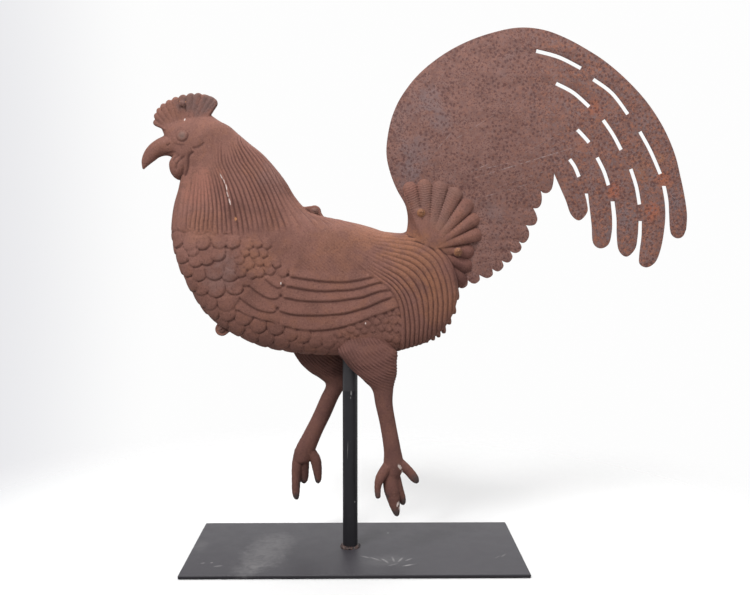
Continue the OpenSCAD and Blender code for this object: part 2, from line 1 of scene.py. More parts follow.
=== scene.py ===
"""Dressed rooster weathervane: two rusted iron castings over a pierced sheet tail, turning on
a painted pipe post and plate.

The tables repeat the stations of the part, in millimetres, in its own frame: +Z up along the
turning axis, +X from the beak to the tail, the castings part at Y = 0.
"""
import logging
import math
from dataclasses import dataclass, field
from enum import Enum

import bpy
import numpy as np
from mathutils import Matrix, Vector
from mathutils.bvhtree import BVHTree


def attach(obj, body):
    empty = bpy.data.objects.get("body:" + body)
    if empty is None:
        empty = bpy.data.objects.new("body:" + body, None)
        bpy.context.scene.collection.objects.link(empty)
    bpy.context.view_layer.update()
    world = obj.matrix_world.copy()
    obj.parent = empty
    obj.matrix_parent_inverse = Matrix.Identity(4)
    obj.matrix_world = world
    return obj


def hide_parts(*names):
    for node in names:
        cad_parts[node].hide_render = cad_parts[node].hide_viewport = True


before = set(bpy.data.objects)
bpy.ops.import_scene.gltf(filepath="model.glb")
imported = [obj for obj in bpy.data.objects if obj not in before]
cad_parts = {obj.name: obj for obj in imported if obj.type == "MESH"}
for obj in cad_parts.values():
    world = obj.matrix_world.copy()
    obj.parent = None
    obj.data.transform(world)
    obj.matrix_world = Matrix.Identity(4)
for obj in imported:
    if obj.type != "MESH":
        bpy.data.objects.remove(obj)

LOG = logging.getLogger("weathervane")
Piece, Material = bpy.types.Object, bpy.types.Material
Tree, Node, Socket = bpy.types.ShaderNodeTree, bpy.types.Node, bpy.types.NodeSocket
MM = 0.001
# How far the forms reach past the parting plane before the mating face is cut, and its gap
PAST = 6.0
PARTING = 0.15
# Radius at which a domed or flat end is closed, and the chamfer of a bolt's end
POINT, CHAMFER = 0.01, 0.7
# Where the photograph was taken from, and the depth at which the feathers were measured
LENS_AT = (21.5, -1479.7, 545.3)
MAP_Y = -40.0


class Side(Enum):
    """Side of the parting plane that a casting lies on."""

    NEAR = -1
    FAR = 1


def curve_through(points: list, steps: int = 8) -> np.ndarray:
    """Samples a smooth curve that passes through a list of points.

    Args:
        points: points of any dimension, in order.
        steps: samples between two points.

    Returns:
        The samples, one row each.
    """
    pts = np.asarray(points, float)
    return spline(pts, np.linspace(0.0, len(pts) - 1, (len(pts) - 1) * steps + 1))


def spline(rows: np.ndarray, at: np.ndarray) -> np.ndarray:
    """Reads a table at fractional rows along a smooth curve.

    Args:
        rows: the table.
        at: row numbers counted from 0, with fractions.

    Returns:
        One interpolated row for each number.
    """
    last = len(rows) - 1
    i = np.clip(np.floor(at).astype(int), 0, last - 1)
    t = (at - i)[:, None]
    a, b = rows[np.maximum(i - 1, 0)], rows[i]
    c, d = rows[i + 1], rows[np.minimum(i + 2, last)]
    return 0.5 * (2 * b + t * (c - a) + t**2 * (2 * a - 5 * b + 4 * c - d)
                  + t**3 * (3 * b - a - 3 * c + d))


def ramp(low: float, high: float, value: np.ndarray) -> np.ndarray:
    """Rises smoothly from 0 at low to 1 at high."""
    t = np.clip((value - low) / (high - low), 0.0, 1.0)
    return t * t * (3.0 - 2.0 * t)


def bell(value: np.ndarray, width: float) -> np.ndarray:
    """Falls from 1 at a value of 0 to nothing on both sides."""
    return np.exp(-((value / width) ** 2))


def crown(u: np.ndarray, power: float) -> np.ndarray:
    """Share of the depth at column angle u, 0 at the parting plane and 1 in the middle."""
    return np.clip(1.0 - np.abs(np.cos(u)) ** power, 0.0, 1.0) ** (1.0 / power)


def box_blur(grid: np.ndarray, times: int = 1) -> np.ndarray:
    """Averages each cell of a grid with its neighbours, some times over."""
    for _ in range(times):
        for axis in (0, 1):
            grid = (np.roll(grid, 1, axis) + grid + np.roll(grid, -1, axis)) / 3.0
    return grid


def turns(count: int) -> np.ndarray:
    """Angles of points spread evenly round a circle."""
    return np.linspace(0.0, 2 * np.pi, count, endpoint=False)


def unit(rows: np.ndarray) -> np.ndarray:
    """Scales each vector of a table to a length of 1."""
    return rows / np.linalg.norm(rows, axis=-1, keepdims=True)


# Heights of the hackle's table; then the number of each strand and its x at those heights
HACKLE_Z = (715, 695, 660, 640, 620, 600, 580, 560, 538, 500)
HACKLE_LINES = (
    (-281, (-233, -240, -266, -276, -282, -287, -290, -292, -293, -295)),
    (-265, (-230, -236, -252, -258, -262, -266, -269, -271, -272, -274)),
    (-252, (-227, -233, -244, -248, -249, -251, -253, -256, -258, -262)),
    (-228, (-223, -227, -236, -234, -231, -229, -228, -230, -231, -236)),
    (-209, (-216, -221, -226, -219, -214, -210, -208, -207, -206, -206)),
    (-195, (-210, -215, -217, -209, -202, -197, -194, -192, -190, -187)),
    (-186, (-205, -210, -211, -203, -195, -189, -184, -180, -177, -172)),
    (-177, (-200, -205, -204, -196, -187, -180, -175, -171, -168, -160)),
    (-160, (-192, -198, -192, -181, -170, -163, -157, -153, -149, -140)),
    (-144, (-183, -190, -180, -166, -156, -147, -141, -137, -133, -122)),
    (-128, (-174, -182, -166, -152, -141, -132, -125, -119, -114, -100)),
    (-114, (-164, -173, -151, -138, -127, -118, -110, -102, -95, -78)),
    (-90, (-150, -160, -131, -118, -107, -95, -80, -64, -50, -25)),
    (-70, (-138, -150, -116, -101, -88, -72, -54, -36, -20, 10)),
)
HEM = (
    (-400, 546), (-300, 547), (-281, 551), (-268, 547), (-259, 551), (-250, 545), (-240, 544),
    (-229, 549), (-221, 543), (-210, 540), (-201, 546), (-192, 541), (-176, 539), (-150, 538),
    (-120, 535), (-80, 532), (-40, 540),
)
# Breast and belly feathers: the lowest point of each tip, and its width
BREAST = (
    (-281, 522, 22), (-257, 517, 21), (-237, 519, 24), (-211, 520, 23), (-190, 520, 24),
    (-272, 496, 21), (-253, 508, 18), (-250, 490, 22), (-232, 493, 21), (-214, 500, 26),
    (-265, 474, 20), (-245, 467, 21), (-219, 469, 29), (-192, 467, 28),
    (-256, 450, 20), (-239, 444, 21), (-215, 441, 28), (-187, 445, 27),
    (-241, 423, 22), (-225, 420, 20), (-199, 418, 28), (-174, 424, 24),
    (-225, 402, 22), (-197, 402, 26), (-170, 395, 28),
    (-208, 385, 22), (-182, 378, 25), (-147, 382, 25), (-118, 379, 27), (-94, 369, 21),
    (-73, 366, 23), (-54, 358, 22), (-34, 356, 19), (-160, 364, 24), (-134, 361, 25),
    (-108, 355, 24), (-84, 350, 22), (-64, 344, 22), (-42, 343, 22), (-20, 341, 22),
    (-146, 344, 24), (-120, 339, 24), (-96, 334, 24), (-72, 330, 24), (-48, 328, 24),
    (-24, 326, 24), (0, 326, 24), (-196, 358, 24), (-172, 344, 24),
    (-294, 508, 22), (-302, 484, 24), (-289, 470, 24), (-296, 446, 24), (-278, 438, 24),
    (-268, 414, 24), (-286, 416, 24), (-250, 398, 24), (-266, 388, 24), (-234, 378, 24),
    (-248, 364, 24), (-214, 360, 24), (-304, 530, 24), (-310, 508, 24), (-228, 350, 24),
)
# Small feathers over the shoulder
SHOULDER = (
    (-164, 519, 17), (-147, 522, 14), (-132, 520, 15), (-183, 505, 15), (-168, 508, 13),
    (-154, 505, 16), (-138, 506, 13), (-178, 495, 17), (-161, 487, 17), (-145, 492, 14),
    (-131, 489, 14), (-189, 486, 15), (-172, 476, 19), (-155, 473, 16), (-144, 474, 15),
    (-166, 459, 20), (-179, 447, 15), (-106, 474, 16), (-126, 478, 14), (-117, 489, 13),
)
# Long coverts that sweep from the shoulder into the notches of the wing, and those notches
COVERTS = (
    ((-140, 472), (-130, 463), (-120, 456), (-110, 456)),
    ((-170, 464), (-156, 452), (-141, 442), (-126, 437), (-114, 440)),
    ((-184, 444), (-170, 431), (-154, 421), (-139, 416), (-127, 415), (-119, 419)),
    ((-190, 422), (-174, 414), (-159, 408), (-145, 403), (-130, 400), (-116, 395)),
)
NOTCHES = ((-109, 459, 3.0), (-113, 442, 3.0), (-119, 421, 3.4), (-101, 476, 2.4))
SHOULDER_EDGE = ((-186, 550), (-195, 532), (-200, 516), (-203, 498), (-202, 482), (-199, 466))
WING_GROOVES = (
    ((-100, 474), (-80, 471), (-60, 468), (-40, 466), (-12, 465), (14, 468), (40, 474)),
    ((-106, 458), (-95, 457), (-80, 454), (-60, 451), (-40, 450), (-20, 451),
     (0, 452), (20, 456), (40, 462), (56, 466)),
    ((-112, 440), (-95, 437), (-80, 434), (-60, 433), (-40, 433), (-20, 434),
     (0, 437), (20, 440), (35, 445), (50, 450), (68, 452)),
    ((-118, 418), (-105, 414), (-90, 411), (-70, 410), (-50, 410), (-30, 411),
     (-10, 413), (10, 418), (30, 424), (50, 433), (74, 442)),
    ((-118, 396), (-100, 390), (-80, 386), (-60, 385), (-40, 386),
     (-20, 389), (0, 394), (20, 401), (40, 409), (60, 415), (84, 426)),
)
# Short feathers between the wing and the thigh: tip x, tip z
FLUFF = (
    (-18, 380), (-4, 377), (10, 383), (24, 386), (38, 388), (52, 390), (64, 390), (76, 388),
    (2, 390), (16, 394), (30, 398), (44, 402), (58, 404), (72, 404), (84, 402),
    (-26, 370), (-12, 366), (0, 365), (64, 376), (76, 372), (86, 384), (50, 412), (66, 416),
    (80, 417), (88, 366), (74, 358), (88, 352), (60, 362), (34, 410),
)
# Saddle feathers counted from the wing outwards, and the lines that some of them follow
SADDLE_LINES = {
    0: ((-16, 518), (4, 502), (20, 489), (35, 477), (49, 467), (61, 458), (71, 447),
        (78, 435), (82, 420), (84, 404), (85, 388), (84, 366), (78, 330)),
    3: ((-9, 527), (21, 506), (38, 494), (54, 485), (68, 477), (81, 468), (92, 456),
        (100, 443), (105, 429), (108, 413), (110, 396), (110, 376), (105, 336)),
    6: ((0, 536), (40, 516), (60, 509), (78, 503), (93, 498), (106, 491), (117, 481),
        (125, 469), (131, 455), (135, 439), (136, 421), (135, 399), (130, 352)),
    9: ((6, 548), (38, 534), (60, 531), (80, 529), (97, 527), (112, 524), (126, 517),
        (138, 508), (147, 496), (154, 480), (160, 461), (163, 434), (160, 380)),
    11: ((10, 556), (40, 547), (66, 543), (90, 541), (108, 540), (124, 537), (138, 530),
         (150, 521), (160, 509), (168, 494), (175, 477), (180, 450), (176, 396)),
}
# Folds of the face: line, depth, width above and below, fade of the ends, painted shade
FACE_CREASES = (
    (((-297, 684), (-293, 688), (-289, 690)), 1.8, 1.4, 1.4, 0.3, 0.8),
    (((-256, 683), (-249, 683), (-241, 687), (-234, 693)), 1.8, 1.6, 2.4, 0.2, 0.8),
    (((-256, 675), (-247, 673), (-236, 675), (-225, 677)), 0.4, 3.0, 3.0, 0.3, 0.3),
    (((-286, 691), (-276, 688), (-266, 688)), 0.5, 1.6, 1.6, 0.2, 0.8),
    (((-224, 722), (-222, 708), (-221, 692), (-224, 675), (-231, 666)), 0.35, 5.0, 4.0, 0.3, 0.3),
    (((-315, 664), (-303, 671), (-290, 675), (-279, 677)), 0.9, 1.6, 2.0, 0.15, 0.8),
    (((-252, 677), (-260, 669), (-261, 658), (-263, 647), (-268, 636)), 2.4, 1.6, 3.4, 0.08, 1.0),
    (((-264, 672), (-274, 664), (-280, 656), (-282, 645)), 1.5, 1.8, 2.4, 0.2, 0.8),
    (((-274, 672), (-282, 667), (-288, 659)), 1.1, 1.6, 1.8, 0.25, 0.8),
)


@dataclass
class FeatherMap:
    """Height of the cast feathers over the side view of the bird, in millimetres, and the shade
    painted into their creases and under their lapped edges.

    Later feathers are laid over earlier ones, as on the bird, so each group is drawn from
    the tail end towards the head.
    """

    low_x: float = -420.0
    low_z: float = 290.0
    wide: float = 680.0
    tall: float = 500.0
    step: float = 0.6
    scale_lift: float = 2.7
    band_rise: float = 2.5
    hackle_height: float = 1.35
    saddle_height: float = 1.25
    saddle_strands: float = 1.12
    eye: tuple = (-271.0, 702.5)
    height: np.ndarray = field(init=False)
    # Painted shade from 0 to 1, which the finishes lay into the casting's colour
    painted_shade: np.ndarray = field(init=False)

    def __post_init__(self) -> None:
        """Lays out the grid."""
        across = self.low_x + self.step * np.arange(int(self.wide / self.step) + 1)
        up = self.low_z + self.step * np.arange(int(self.tall / self.step) + 1)
        self.x, self.z = np.meshgrid(across, up)
        self.height = np.zeros_like(self.x)
        self.painted_shade = np.zeros_like(self.x)

    def window(self, points: np.ndarray, reach: float) -> tuple:
        """Slices of the grid that cover some points and a margin round them."""
        low = points.min(0) - reach
        high = points.max(0) + reach
        rows = ((low[1] - self.low_z) / self.step, (high[1] - self.low_z) / self.step)
        cols = ((low[0] - self.low_x) / self.step, (high[0] - self.low_x) / self.step)
        return tuple(slice(max(int(a), 0), max(int(b) + 2, 0)) for a, b in (rows, cols))

    def distance(self, line: tuple, reach: float) -> tuple:
        """Measures the cells round a line.

        Args:
            line: points (x, z) that the line passes through.
            reach: how far from the line cells are measured.

        Returns:
            The window, the distance to the line, positive on its left, and the share of the
            line's length passed at the nearest point.
        """
        pts = curve_through(line, 5)
        win = self.window(pts, reach)
        x, z = self.x[win], self.z[win]
        best = np.full(x.shape, 1e9)
        side = np.zeros(x.shape)
        share = np.zeros(x.shape)
        for k in range(len(pts) - 1):
            a, ab = pts[k], pts[k + 1] - pts[k]
            t = np.clip(((x - a[0]) * ab[0] + (z - a[1]) * ab[1]) / (ab @ ab), 0.0, 1.0)
            dx, dz = x - a[0] - t * ab[0], z - a[1] - t * ab[1]
            d2 = dx * dx + dz * dz
            nearer = d2 < best
            best = np.where(nearer, d2, best)
            side = np.where(nearer, ab[0] * dz - ab[1] * dx, side)
            share = np.where(nearer, (k + t) / (len(pts) - 1), share)
        return win, np.sqrt(best) * np.where(side >= 0, 1.0, -1.0), share

    def swell(self, line: tuple, rise: float, reach: float, fade: float = 0.2,
              edge: float = 4.0, shading: float = 0.0) -> None:
        """Raises a lapping step on the left of a line that runs out further left.

        Args:
            line: points (x, z) along the foot of the step.
            rise: height of the step.
            reach: how far it takes to run out.
            fade: share of the length over which each end runs out.
            edge: half the width of the step's face.
            shading: how much painted shade lies along its foot, from 0 to 1.
        """
        win, d, share = self.distance(line, max(reach, 4 * edge))
        ends = ramp(0.0, fade, np.minimum(share, 1.0 - share))
        shape = ramp(-0.9 * edge, 1.1 * edge, d) * np.clip(1.0 - d / reach, 0.0, 1.0) ** 1.2
        self.height[win] += rise * ends * shape
        self.paint_shade(shading * ends * bell(d + 0.4 * edge, 0.9 * edge), win)

    def paint_shade(self, amount: np.ndarray, win: object = ...) -> None:
        """Paints shade into a window of the grid, unless more lies there."""
        self.painted_shade[win] = np.maximum(self.painted_shade[win], amount)

    def lay(self, cover: np.ndarray, height: np.ndarray, painted_shade: np.ndarray,
            win: object = ...) -> None:
        """Lays a height and its painted shade over a window of the grid, as far as it is covered.
        """
        self.height[win] = self.height[win] * (1.0 - cover) + height * cover
        self.painted_shade[win] = self.painted_shade[win] * (1.0 - cover) + painted_shade * cover

    def clear_above(self, line: tuple, reach: float) -> None:
        """Smooths out what is drawn within a distance on the left of a line."""
        win, d, share = self.distance(line, reach)
        inside = (share > 0.0) & (share < 1.0)
        keep = 1.0 - ramp(-0.5, 1.5, d) * inside
        self.height[win] *= keep
        self.painted_shade[win] *= keep

    def crease(self, line: tuple, depth: float, above: float, below: float,
               fade: float = 0.06, shading: float = 0.8) -> None:
        """Cuts a valley with rounded shoulders, as between two lapped feathers.

        Args:
            line: points (x, z) along the bottom of the valley.
            depth: its depth.
            above: how fast its left side rises, in millimetres.
            below: how fast its right side rises.
            fade: share of the length over which each end runs out.
            shading: how much painted shade lies in it, from 0 to 1.
        """
        win, d, share = self.distance(line, 5 * max(above, below))
        ends = ramp(0.0, fade, np.minimum(share, 1.0 - share))
        fall = np.exp(-np.abs(d) / np.where(d > 0, above, below))
        self.height[win] -= depth * ends * fall
        fall = np.exp(-np.abs(d) / np.where(d > 0, 0.8 * above, 1.1 * below))
        self.paint_shade(shading * ends * fall, win)

    def feather(self, x: float, z: float, width: float, length: float, point: float = -90.0,
                lift: float = 2.4) -> None:
        """Lays one rounded feather over what is already drawn.

        Args:
            x: place of its tip along the bird.
            z: height of its tip.
            width: its width.
            length: how far back it shows before it runs in under the next.
            point: the way that it points, in degrees from +X towards +Z.
            lift: height of its tip over the ground.
        """
        half = width / 2.0
        win = self.window(np.array([[x, z]]), length + width)
        u, v = self.x[win] - x, self.z[win] - z
        c, s = math.cos(math.radians(point)), math.sin(math.radians(point))
        back = -(u * c + v * s)
        a = (v * c - u * s) / half
        tip = 0.95 * half
        edge = tip * (1.0 - np.sqrt(np.clip(1.0 - a * a, 0.0, 1.0)))
        flank = (1.0 - np.abs(a)) * half
        steep = np.sqrt(1.0 + np.clip(a * a / np.maximum(1.0 - a * a, 0.05), 0.0, 9.0))
        d = np.where(np.abs(a) < 1.0, np.minimum((back - edge) / steep, flank), -2.0 + flank)
        d = np.where((np.abs(a) >= 1.0) & (back < tip), -np.hypot(flank, tip - back), d)
        ahead = np.clip(1.0 - back / length, 0.0, 1.0)
        dome = 1.0 - 0.52 * np.exp(-np.clip(d, 0.0, None) / (0.15 * width))
        shape = lift * (0.25 + 0.75 * ahead) * dome
        cover = ramp(-1.2, 1.2, d) * ramp(0.0, 0.3, ahead)
        # Painted shade: the gap round the lower right edge and the crescent inside it are darkened,
        # as if lit from the upper left.
        low_right = 0.3 + 0.7 * ramp(-0.5, 0.7, np.cos(np.arctan2(v + half, u) + 0.9))
        gap = bell(d + 1.2, 1.45) * ramp(0.15, 0.6, ahead) * low_right
        shade = 0.4 * np.exp(-np.clip(d, 0.0, None) / 1.8) * low_right + 0.3 * (1.0 - ahead)
        self.height[win] -= 0.7 * lift * gap
        self.paint_shade(0.95 * gap * min(1.0, lift), win)
        self.lay(cover, shape, shade, win)

    def strands(self) -> np.ndarray:
        """Number of the hackle strand at each cell, with fractions."""
        table = np.array([xs for _, xs in HACKLE_LINES], float)
        values = np.array([value for value, _ in HACKLE_LINES], float)
        rows_z = np.array(HACKLE_Z, float)[::-1]
        at = np.interp(self.z[:, 0], rows_z, np.arange(len(rows_z)))
        xs = spline(table[:, ::-1].T, at)
        front, back = 2 * xs[:, :1] - xs[:, 1:2], 2 * xs[:, -1:] - xs[:, -2:-1]
        far_front, far_back = 2 * front - xs[:, :1], 2 * back - xs[:, -1:]
        xs = np.hstack([far_front, front, xs, back, far_back])
        step_f, step_b = values[0] - values[1], values[-1] - values[-2]
        values = np.concatenate([[values[0] + 2 * step_f, values[0] + step_f], values,
                                 [values[-1] + step_b, values[-1] + 2 * step_b]])
        return np.array([np.interp(x, row, values) for x, row in zip(self.x, xs)])

    def hackle(self) -> None:
        """Lays the hackle over the neck, down to its scalloped hem."""
        phase = box_blur(self.strands(), 3)
        pitch = 1.0 / np.maximum(np.abs(np.gradient(phase, self.step, axis=1)), 1e-3)
        hem = curve_through(HEM, 6)
        above = self.z - np.interp(self.x, hem[:, 0], hem[:, 1])
        wave = 2 * np.pi * np.interp(phase, (-400, -200, 200), (-31.0, 0.0, 51.0))
        wander = 0.35 * np.sin(self.z / 9.0 + phase / 2.3)
        ridge = np.cos(wave + wander) + 0.12 * np.cos(2 * (wave + wander))
        strength = ramp(0.42, 0.75, pitch) * ramp(-1.0, 4.0, above)
        plain = np.exp(-(((self.x + 236) / 26) ** 2 + ((self.z - 655) / 30) ** 2))
        strength = strength * (1.0 - 0.8 * plain)
        strength *= 1.0 - 0.35 * ramp(-150.0, -60.0, self.x - 0.5 * (self.z - 560))
        strength *= ramp(738.0, 706.0, self.z + 0.45 * (self.x + 200))
        strength *= ramp(-232.0, -212.0, self.x + 0.55 * np.clip(700.0 - self.z, 0, None))
        front = ramp(-130.0, -200.0, self.x)
        tail_out = 1.0 - (1.0 - front) * ramp(30.0, -6.0, above)
        uneven = 0.6 + 0.4 * np.sin(self.x / 7.0) * np.sin(self.x / 17.0 + 1.0)
        lip = 0.9 * front * uneven * np.exp(-np.clip(above, 0, None) / 14.0)
        cover = ramp(-2.0, 2.0, above) * np.maximum(front, ramp(-4, 14, above))
        crease = front * bell(above + 1.8, 2.2)
        worn = 0.84 + 0.1 * np.sin(self.x / 11.0 + self.z / 23.0)
        worn += 0.08 * np.sin(self.z / 13.0 - self.x / 31.0)
        worn = worn * (0.76 + 0.24 * ramp(-250.0, -215.0, self.x))
        strength = strength * worn
        top = lip + self.hackle_height * ridge * strength * tail_out
        grain = 0.22 * np.cos((self.x * 0.62 + self.z * 0.78) * 2 * np.pi / 4.4)
        grain = grain * ramp(-130, -70, self.x) * ramp(455, 490, self.z)
        self.height += grain * (1.0 - cover)
        # Painted shade along the hem and in the valleys between the strands.
        self.height -= 0.7 * crease * uneven
        self.paint_shade(0.4 * crease * uneven)
        self.lay(cover, top, 0.38 * (0.5 - 0.45 * ridge) * strength * tail_out)

    def saddle(self) -> None:
        """Lays the long saddle feathers that sweep over the rump."""
        known = list(SADDLE_LINES)
        count = known[-1]
        rows = np.array(list(SADDLE_LINES.values()), float).reshape(len(known), -1).T
        lines = np.round([np.interp(np.arange(count + 1), known, row) for row in rows])
        fam = np.array([curve_through(line, 12) for line in lines.T.reshape(count + 1, -1, 2)])
        fine = np.linspace(0.0, count, count * 26 + 1)
        dense = np.stack([spline(fam[:, m], fine) for m in range(fam.shape[1])], 1)
        dense = np.concatenate([dense[:, :-1] * (1 - t) + dense[:, 1:] * t
                                for t in np.arange(0.0, 1.0, 0.25)], 1)
        value = np.repeat(fine[:, None], dense.shape[1], 1)
        j = np.round((dense[..., 0] - self.low_x) / self.step).astype(int).ravel()
        i = np.round((dense[..., 1] - self.low_z) / self.step).astype(int).ravel()
        shape = self.x.shape
        keep = (i >= 0) & (j >= 0) & (i < shape[0]) & (j < shape[1])
        flat = i[keep] * shape[1] + j[keep]
        total = np.bincount(flat, value.ravel()[keep], shape[0] * shape[1]).reshape(shape)
        seen = np.bincount(flat, None, shape[0] * shape[1]).reshape(shape).astype(float)
        inside = box_blur((seen > 0).astype(float), 2) > 0.45
        total, seen = box_blur(total, 4), box_blur(seen, 4)
        phase = total / np.maximum(seen, 1e-9)
        strand = self.saddle_strands * phase
        wave = np.abs(np.sin(np.pi * strand)) ** 0.9
        ribs = 0.2 * np.cos(2 * np.pi * 3 * strand) * ramp(0.15, 0.7, wave)
        early = 0.2 + 0.8 * ramp(10.0, 130.0, self.x + 0.6 * (520 - self.z))
        rise = 1.9 * np.exp(-np.clip(phase, 0, None) / 1.6)
        top = rise * ramp(-5, 40, self.x)
        top += self.saddle_height * (1.7 * wave - 1.1 + ribs) * early
        weight = box_blur(inside.astype(float), 2)
        weight *= ramp(0.0, 0.25, phase) * ramp(-30.0, 6.0, self.x)
        # Painted shade in the valleys between the strands and where they run in under the wing.
        hidden = bell(np.clip(0.25 - phase, 0, 1), 0.14) * inside
        self.lay(weight, top, 0.44 * (1.0 - wave) ** 1.1 * early)
        hidden = hidden * (1.0 - weight) * ramp(352.0, 380.0, self.z)
        self.paint_shade(0.9 * hidden * ramp(30.0, 62.0, self.x))
        self.height -= 1.2 * hidden * ramp(40.0, 62.0, self.x)

    def face(self) -> None:
        """Draws the ring of the eye, the nostril, the ear and the folds of the wattle."""
        x, z = self.x - self.eye[0], self.z - self.eye[1]
        ring, around = np.hypot(x, z), np.arctan2(z, x)
        # Painted shade in the lower right of the eye's ring.
        low_right = 0.35 + 0.65 * ramp(-0.2, 0.9, np.cos(around + 0.9))
        rim = low_right * bell(ring - 9.6, 1.5)
        self.height += 1.2 * ramp(9.4, 6.8, ring) - 1.0 * rim
        self.paint_shade(0.8 * rim * ramp(0.5, 0.9, low_right))
        for crease in FACE_CREASES:
            self.crease(*crease)

    def draw(self) -> None:
        """Draws every feather of the side view."""
        for x, z in sorted(FLUFF, key=lambda tip: tip[1] - 0.3 * tip[0]):
            wobble = math.sin(12.9 * x + 7.3 * z)
            self.feather(x + 4 + 2 * wobble, z - 6, 9.0 + 2 * wobble, 17.0, -44.0 + 16 * wobble,
                         1.55)
        for x, z, wide in sorted(BREAST, key=lambda tip: tip[1] - 0.25 * tip[0]):
            lean = math.sin(0.31 * x + 0.17 * z)
            self.feather(x, z, wide + 1.0, 26.0, -78.0 + 6 * lean, self.scale_lift)
        self.swell(SHOULDER_EDGE, 2.0, 30.0)
        self.crease(SHOULDER_EDGE, 0.5, 2.0, 5.0, 0.15, 0.2)
        self.clear_above(WING_GROOVES[-1], 40.0)
        self.clear_above(COVERTS[-1], 24.0)
        for line in COVERTS:
            self.swell(line, 2.0, 15.0, 0.12, 1.8, 0.55)
            self.crease(line, 0.7, 1.6, 3.0, 0.12, 0.3)
        for x, z, wide in SHOULDER[::-1]:
            lean = math.sin(0.43 * x + 0.29 * z)
            self.feather(x, z, wide + 1.5 * lean, 18.0, -60.0 + 14 * lean, 2.1 + 0.3 * lean)
        for line in WING_GROOVES:
            self.swell(line, self.band_rise, 17.0, 0.05, 2.3, 0.4)
            self.crease(line, 1.2, 1.9, 3.8, 0.05, 0.42)
        # Pits at the notches, with painted shade in them.
        for x, z, r in NOTCHES:
            pit = bell(np.hypot(self.x - x, self.z - z), r)
            self.height -= 1.9 * pit
            self.paint_shade(pit)
        self.hackle()
        self.saddle()
        self.face()
        self.height = box_blur(self.height, 1)
        self.painted_shade = np.clip(box_blur(self.painted_shade, 1), 0.0, 1.0)

    def sample(self, x: np.ndarray, z: np.ndarray) -> tuple:
        """Reads the map at places of the side view.

        Args:
            x: places along the bird.
            z: heights.

        Returns:
            The relief at each, positive outwards, and the painted shade.
        """
        rows, cols = self.x.shape
        u = np.clip((x - self.low_x) / self.step, 0, cols - 1.001)
        v = np.clip((z - self.low_z) / self.step, 0, rows - 1.001)
        j, i = u.astype(int), v.astype(int)
        fu, fv = u - j, v - i
        found = []
        for grid in (self.height, self.painted_shade):
            low = grid[i, j] * (1 - fu) + grid[i, j + 1] * fu
            high = grid[i + 1, j] * (1 - fu) + grid[i + 1, j + 1] * fu
            found.append(low * (1 - fv) + high * fv)
        return tuple(found)


